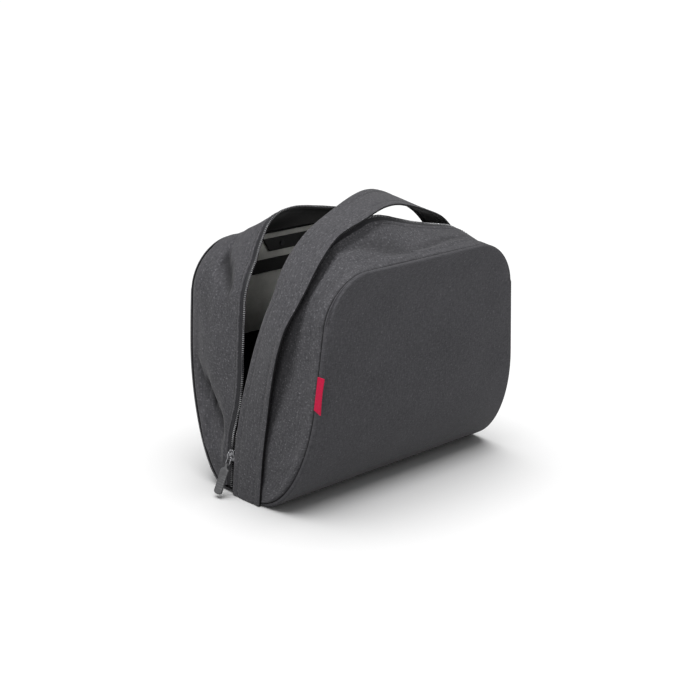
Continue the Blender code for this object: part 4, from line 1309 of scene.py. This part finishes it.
def tube(name, path, radius, kind, closed):
    """Round wire along a path of points."""
    sides = 10
    path = np.array(path)
    count = len(path)
    rings = []
    side = None
    for k in range(count):
        before = path[k - 1] if closed or k else path[0]
        after = path[(k + 1) % count] if closed or k < count - 1 else path[-1]
        run = (after - before) / np.linalg.norm(after - before)
        if side is None:
            side = np.cross(run, (0.31, 0.52, 0.79))
        side = side - run * (side @ run)
        side = side / np.linalg.norm(side)
        other = np.cross(run, side)
        angles = [2 * math.pi * m / sides for m in range(sides)]
        rings.append([path[k] + radius * (math.cos(a) * side + math.sin(a) * other) for a in angles])
    return sweep_piece(name, rings, (kind,), closed=closed, smooth_angle=60)


def joined(name, things):
    """Join several pieces to one mesh."""
    mesh = bmesh.new()
    finishes = []
    for thing in things:
        part = bmesh.new()
        part.from_mesh(thing.data)
        held = thing.data.materials[0]
        if held not in finishes:
            finishes.append(held)
        for face in part.faces:
            face.material_index = finishes.index(held)
        spare = bpy.data.meshes.new("spare")
        part.to_mesh(spare)
        part.free()
        mesh.from_mesh(spare)
        bpy.data.meshes.remove(spare)
    data = bpy.data.meshes.new(name)
    mesh.to_mesh(data)
    mesh.free()
    for each in finishes:
        data.materials.append(each)
    shade(data, 40)
    for thing in things:
        bpy.data.objects.remove(thing)
    return add_object(name, data)


def slider_place(shape):
    """Middle of the slider with its ways out, rear and up."""
    s = shape.s

    def surface(z):
        swell = shape.side_swell(z / shape.band_run)
        return np.array([-(shape.half_width(z) + swell - 0.5 * s.gusset_wall), s.zip_foot_y, z])

    up = surface(s.slider_height + 0.005) - surface(s.slider_height - 0.005)
    up /= np.linalg.norm(up)
    rear = np.array([0.0, 1.0, 0.0])
    out = np.cross(rear, up)
    out /= np.linalg.norm(out)
    if out[0] > 0:
        out = -out
    return surface(s.slider_height), out, rear, up


def make_slider(shape):
    """Slider: two waisted plates, the post between them and the bail."""
    origin, out, rear, up = slider_place(shape)
    gap = 0.5 * shape.s.bead_thickness + 0.0004
    plate = 0.0014
    outline = [(wide, z - 0.005) for z, wide in SLIDER_WAIST]
    outline += [(-a, b) for a, b in outline[::-1]]
    plates = []
    for number, side in enumerate((gap, -gap - plate)):
        rings = plate_rings(outline, origin + out * side, rear, up, out, plate)
        plates.append(bevelled(sweep_piece(f"slider_plate_{number}", rings, ("metal",)), 0.0004, 3))
    post_outline = [(-0.0006, 0.0030), (0.0006, 0.0030), (0.0006, 0.0048), (-0.0006, 0.0048)]
    rings = plate_rings(post_outline, origin - out * (gap + 0.0002), rear, up, out, 2 * gap + 0.0004)
    plates.append(sweep_piece("slider_post", rings, ("metal",)))
    arch = []
    for k in range(15):
        angle = math.pi * k / 14
        stand = gap + 0.6 * plate + 0.0042 * math.sin(angle) ** 0.7
        arch.append(origin + up * 0.0029 * math.cos(angle) + out * stand)
    plates.append(tube("slider_bail", arch, BAIL_WIRE, "metal", False))
    slider = joined("zip_slider_cast", plates)
    settle_in(slider, "slider_metal", "zip_slider")


def make_pull():
    """Wire link and ribbed rubber tab that hang from the slider."""
    link_low, link_high = (np.array(c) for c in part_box("pull_link"))
    tab_low, _ = (np.array(c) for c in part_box("pull_tab"))
    rear = np.array([0.0, 1.0, 0.0])
    middle = 0.5 * (link_low + link_high)
    tall = link_high[2] - link_low[2]
    wide = link_high[0] - link_low[0]
    angle = math.atan2(max(0.0, wide - 0.001), tall)
    down = np.array([-math.sin(angle), 0.0, -math.cos(angle)])
    long = (tall - 0.001) / math.cos(angle)
    half = 0.5 * (link_high[1] - link_low[1]) - 0.0005
    path = []
    for k in range(32):
        turn = 2 * math.pi * k / 32
        a = powered(math.cos(turn), 0.55) * half
        b = powered(math.sin(turn), 0.55) * 0.5 * long
        path.append(middle + a * rear + b * down)
    link = tube("pull_link_wire", path, LINK_WIRE, "metal", True)
    settle_in(link, "slider_metal", "pull_link")
    top_x = 0.5 * (link_low[0] + link_high[0]) - 0.5 * long * math.sin(angle)
    top = np.array([top_x, middle[1], link_low[2] + 0.0016])
    end = np.array([tab_low[0] + 0.0014, middle[1], tab_low[2] + 0.0013])
    down = (end - top) / np.linalg.norm(end - top)
    reach = float(np.linalg.norm(end - top))
    out = np.cross(down, rear)
    if out[0] > 0:
        out = -out
    rings = []
    steps = 60
    for k in range(steps + 1):
        t = k / steps
        place = top + down * reach * t
        wide = NECK_HALF + (TAB_HALF - NECK_HALF) * ease((t - 0.12) / 0.08)
        wide *= math.sqrt(max(0.05, 1 - max(0.0, (t - 0.90) / 0.10) ** 2 * 0.75))
        thick = 0.0009 + 0.0005 * ease((t - 0.10) / 0.10)
        if RIB_START < t < RIB_END:
            thick *= 1 + RIB_RELIEF * math.cos(2 * math.pi * (t - RIB_START) * reach / RIB_PITCH)
        thick *= math.sqrt(max(0.08, 1 - max(0.0, (t - 0.93) / 0.07) ** 2 * 0.7))
        ring = []
        for m in range(20):
            turn = 2 * math.pi * m / 20
            a = powered(math.cos(turn), 0.4) * wide
            b = powered(math.sin(turn), 0.5) * thick
            ring.append(place + a * rear + b * out)
        rings.append(ring)
    tab = sweep_piece("pull_tab_rubber", rings, ("rubber",), smooth_angle=50)
    settle_in(tab, "tab_rubber", "pull_tab")


def make_label(shape):
    """Folded ribbon label, bare, sewn into the front left seam."""
    s = shape.s
    low = s.label_middle - 0.5 * s.label_height
    rings = []
    steps = 40
    for k in range(steps + 1):
        t = k / steps
        z = low + t * s.label_height
        x = -(shape.half_width(z) + s.gap)
        back = -shape.front_plane(z) + 0.8 * s.panel_wall
        tip = -shape.front_plane(z) - s.label_reach
        drop = s.label_slant * (1 - t)
        lean = 0.0007 * math.sin(math.pi * t)
        fold = 0.5 * s.label_thickness

        def leaf(shift):
            """One leaf of the label, from the seam out to the fold."""
            for j in range(9):
                share = j / 8
                y = back + (tip + fold - back) * share
                yield x - shift * fold - lean * share, y, z - drop * share

        bend = []
        for j in range(1, 8):
            turn = math.pi * j / 8
            y = tip + fold - fold * math.sin(turn)
            bend.append((x - fold + fold * 0.85 * math.cos(turn) - lean, y, z - drop))
        rings.append(list(leaf(0.15)) + bend + list(leaf(1.85))[::-1])
    label = sweep_piece("side_label_ribbon", rings, ("label",), smooth_angle=50)
    settle_in(label, "label_red", "side_label")


def dress_hard_parts():
    """Finishes for the board, its bars and rivets and the rear plate."""
    kinds = {
        "back_board": "board", "board_bar_upper": "plastic", "board_bar_lower": "plastic",
        "bar_rivet_left": "rivet", "bar_rivet_right": "rivet", "rear_mount_plate": "plastic",
    }
    for name, kind in kinds.items():
        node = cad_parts[name]
        node.data.materials.clear()
        node.data.materials.append(finish(kind))


# The camera that took the picture, in metres and radians
CAMERA_AIM = (0.0, 0.0, 0.1)
CAMERA_AZIMUTH = math.radians(-43.3074)
CAMERA_ELEVATION = math.radians(17.6592)
CAMERA_DISTANCE = 1.2293
CAMERA_FOCUS = 1435.6654
CAMERA_CENTRE = (357.2031, 352.2553)
PICTURE_SIZE = 700


def camera_place():
    """Matrix of the camera: the aim point falls on CAMERA_CENTRE in the picture."""
    a, e = CAMERA_AZIMUTH, CAMERA_ELEVATION
    right = np.array([math.cos(a), math.sin(a), 0.0])
    back = np.array([math.sin(a) * math.cos(e), -math.cos(a) * math.cos(e), math.sin(e)])
    upward = np.cross(back, right)
    level = np.stack([right, upward, back])
    half = 0.5 * PICTURE_SIZE
    across, upright = CAMERA_CENTRE
    aim = Vector(((across - half) / CAMERA_FOCUS, (half - upright) / CAMERA_FOCUS, -1.0))
    aim.normalize()
    turn = np.array(Vector((0.0, 0.0, -1.0)).rotation_difference(aim).to_matrix())
    to_camera = turn @ level
    location = np.array(CAMERA_AIM) - to_camera.T @ (np.array(aim) * CAMERA_DISTANCE)
    matrix = Matrix(to_camera.T.tolist()).to_4x4()
    matrix.translation = Vector(location.tolist())
    return matrix


# Radii of the floor's rings, and its depth under the bag's foot
FLOOR_RINGS = (0.4, 1.0, 2.5, 6.0, 14.0)
FLOOR_SIDES = 64
FLOOR_LEVEL = -0.0002

# Soft square lamps: name, place, the point that they look at, size and power
LAMPS = (
    ("key_light", (-0.45, -0.04, 0.90), (-0.05, 0.0, 0.15), 0.20, 13.8),
    ("front_light", (0.30, -0.90, 0.58), (0.0, 0.0, 0.12), 0.5, 8.8),
    ("side_light", (-1.00, -0.55, 0.45), (0.0, 0.0, 0.12), 0.4, 4.5),
)
SUN_POWER = 3.1
SUN_ANGLE = math.radians(60)
AIR_STRENGTH = 0.25
SENSOR_WIDTH = 36.0


def area_light(name, place, aim, size, power):
    """Soft square light that looks at a point."""
    data = bpy.data.lights.new(name, "AREA")
    data.size = size
    data.energy = power
    thing = add_object(name, data)
    thing.location = place
    thing.rotation_euler = (Vector(aim) - Vector(place)).to_track_quat("-Z", "Y").to_euler()
    return thing


def make_floor(scene):
    """Round pale floor under the bag."""
    points = [(0.0, 0.0, FLOOR_LEVEL)]
    for ring in FLOOR_RINGS:
        for k in range(FLOOR_SIDES):
            turn = 2 * math.pi * k / FLOOR_SIDES
            points.append((ring * math.cos(turn), ring * math.sin(turn), FLOOR_LEVEL))
    faces = []
    for k in range(FLOOR_SIDES):
        n = (k + 1) % FLOOR_SIDES
        faces.append((0, 1 + k, 1 + n))
        for level in range(len(FLOOR_RINGS) - 1):
            a = 1 + level * FLOOR_SIDES
            b = a + FLOOR_SIDES
            faces.append((a + k, b + k, b + n, a + n))
    data = bpy.data.meshes.new("studio_floor")
    data.from_pydata(points, [], faces)
    pale = tuple(scene.bag_colours.floor)
    made, tree, shader = plain_finish("bag_floor", pale, 0.9)
    place = tree.nodes.new("ShaderNodeTexCoord").outputs["Object"]
    cloudy = contrast(tree, noise_link(tree, place, 3.0, 2.0), 0.3, 0.7)
    tree.links.new(mix_colour(tree, cloudy, toned(pale, 0.985), pale), shader.inputs["Base Color"])
    data.materials.append(made)
    floor = add_object("studio_floor", data)
    return floor


def make_camera(scene):
    """The camera of the picture."""
    data = bpy.data.cameras.new("picture_camera")
    data.sensor_fit = "HORIZONTAL"
    data.sensor_width = SENSOR_WIDTH
    data.lens = CAMERA_FOCUS * SENSOR_WIDTH / PICTURE_SIZE
    data.clip_start = 0.01
    data.clip_end = 60.0
    scene.camera = add_object("picture_camera", data)
    scene.camera.matrix_world = camera_place()


def make_stage():
    """Pale floor, soft lights, faint surroundings and the camera."""
    scene = bpy.context.scene
    scene.view_settings.view_transform = "Standard"
    floor = make_floor(scene)
    world = bpy.data.worlds.new("studio_air")
    world.use_nodes = True
    air = world.node_tree.nodes["Background"]
    air.inputs["Color"].default_value = (1.0, 1.0, 1.0, 1.0)
    air.inputs["Strength"].default_value = AIR_STRENGTH
    scene.world = world
    lamps = [area_light(*lamp) for lamp in LAMPS]
    aside = bpy.data.collections.new("lamps_leave_out")
    aside.objects.link(floor)
    aside.collection_objects[0].light_linking.link_state = "EXCLUDE"
    for lamp in lamps:
        lamp.light_linking.receiver_collection = aside
    floor_only = bpy.data.collections.new("floor_lamp_lights")
    floor_only.objects.link(floor)
    sun = bpy.data.lights.new("floor_light", "SUN")
    sun.energy = SUN_POWER
    sun.angle = SUN_ANGLE
    above = add_object("floor_light", sun)
    above.location = (0.0, 0.0, 3.0)
    above.light_linking.receiver_collection = floor_only
    make_camera(scene)


def current_shape(context):
    """The bag's shape at the sidebar's sizes."""
    return BagShape(context.scene.bag_sizes)


class BAG_OT_wrap_panel(bpy.types.Operator):
    """Sew the padded panel that runs from the front under the bag to the rear"""

    bl_idname = "bag.wrap_panel"
    bl_label = "Wrap Panel"

    def execute(self, context):
        make_wrap_panel(current_shape(context))
        return {"FINISHED"}


class BAG_OT_gussets(bpy.types.Operator):
    """Sew the front and the rear gusset with their folds"""

    bl_idname = "bag.gussets"
    bl_label = "Gussets"

    def execute(self, context):
        for front in (True, False):
            make_gusset(current_shape(context), front)
        return {"FINISHED"}


class BAG_OT_zip(bpy.types.Operator):
    """Set in both halves of the open zip with their teeth and stitches"""

    bl_idname = "bag.zip"
    bl_label = "Zip"

    def execute(self, context):
        for front in (True, False):
            make_zip_half(current_shape(context), front)
        return {"FINISHED"}


class BAG_OT_strap(bpy.types.Operator):
    """Sew the carry strap with its two rows of stitches"""

    bl_idname = "bag.strap"
    bl_label = "Carry Strap"

    def execute(self, context):
        make_strap(current_shape(context))
        return {"FINISHED"}


class BAG_OT_slider(bpy.types.Operator):
    """Make the zip slider with its wire link and rubber tab"""

    bl_idname = "bag.slider"
    bl_label = "Slider And Pull"

    def execute(self, context):
        make_slider(current_shape(context))
        make_pull()
        return {"FINISHED"}


class BAG_OT_label(bpy.types.Operator):
    """Sew the bare red label into the front left seam"""

    bl_idname = "bag.label"
    bl_label = "Side Label"

    def execute(self, context):
        make_label(current_shape(context))
        return {"FINISHED"}


class BAG_OT_hard_parts(bpy.types.Operator):
    """Give the board, bars, rivets and rear plate their finishes"""

    bl_idname = "bag.hard_parts"
    bl_label = "Board And Plate"

    def execute(self, context):
        dress_hard_parts()
        return {"FINISHED"}


class BAG_OT_stage(bpy.types.Operator):
    """Set up the floor, the lights and the camera"""

    bl_idname = "bag.stage"
    bl_label = "Studio"

    def execute(self, context):
        make_stage()
        return {"FINISHED"}


STEPS = (
    BAG_OT_wrap_panel, BAG_OT_gussets, BAG_OT_zip, BAG_OT_strap,
    BAG_OT_slider, BAG_OT_label, BAG_OT_hard_parts, BAG_OT_stage,
)


class BAG_PT_pieces(bpy.types.Panel):
    """Sidebar panel with the bag's pieces, sizes and colours"""

    bl_idname = "BAG_PT_pieces"
    bl_label = "Handlebar Bag"
    bl_space_type = "VIEW_3D"
    bl_region_type = "UI"
    bl_category = "Bag"

    def draw(self, context):
        layout = self.layout
        for step in STEPS:
            layout.operator(step.bl_idname)
        for group in (context.scene.bag_sizes, context.scene.bag_colours):
            box = layout.box()
            for name in group.__annotations__:
                box.prop(group, name)


CLASSES = (BagSizes, BagColours, *STEPS, BAG_PT_pieces)


def register():
    """Add the classes and the sidebar's values."""
    for each in CLASSES:
        bpy.utils.register_class(each)
    bpy.types.Scene.bag_sizes = bpy.props.PointerProperty(type=BagSizes)
    bpy.types.Scene.bag_colours = bpy.props.PointerProperty(type=BagColours)


def unregister():
    """Take the classes and the sidebar's values away."""
    del bpy.types.Scene.bag_colours
    del bpy.types.Scene.bag_sizes
    for each in reversed(CLASSES):
        bpy.utils.unregister_class(each)


def main():
    """Make every piece."""
    register()
    for step in STEPS:
        getattr(bpy.ops.bag, step.bl_idname.split(".")[1])()


if __name__ == "__main__":
    main()
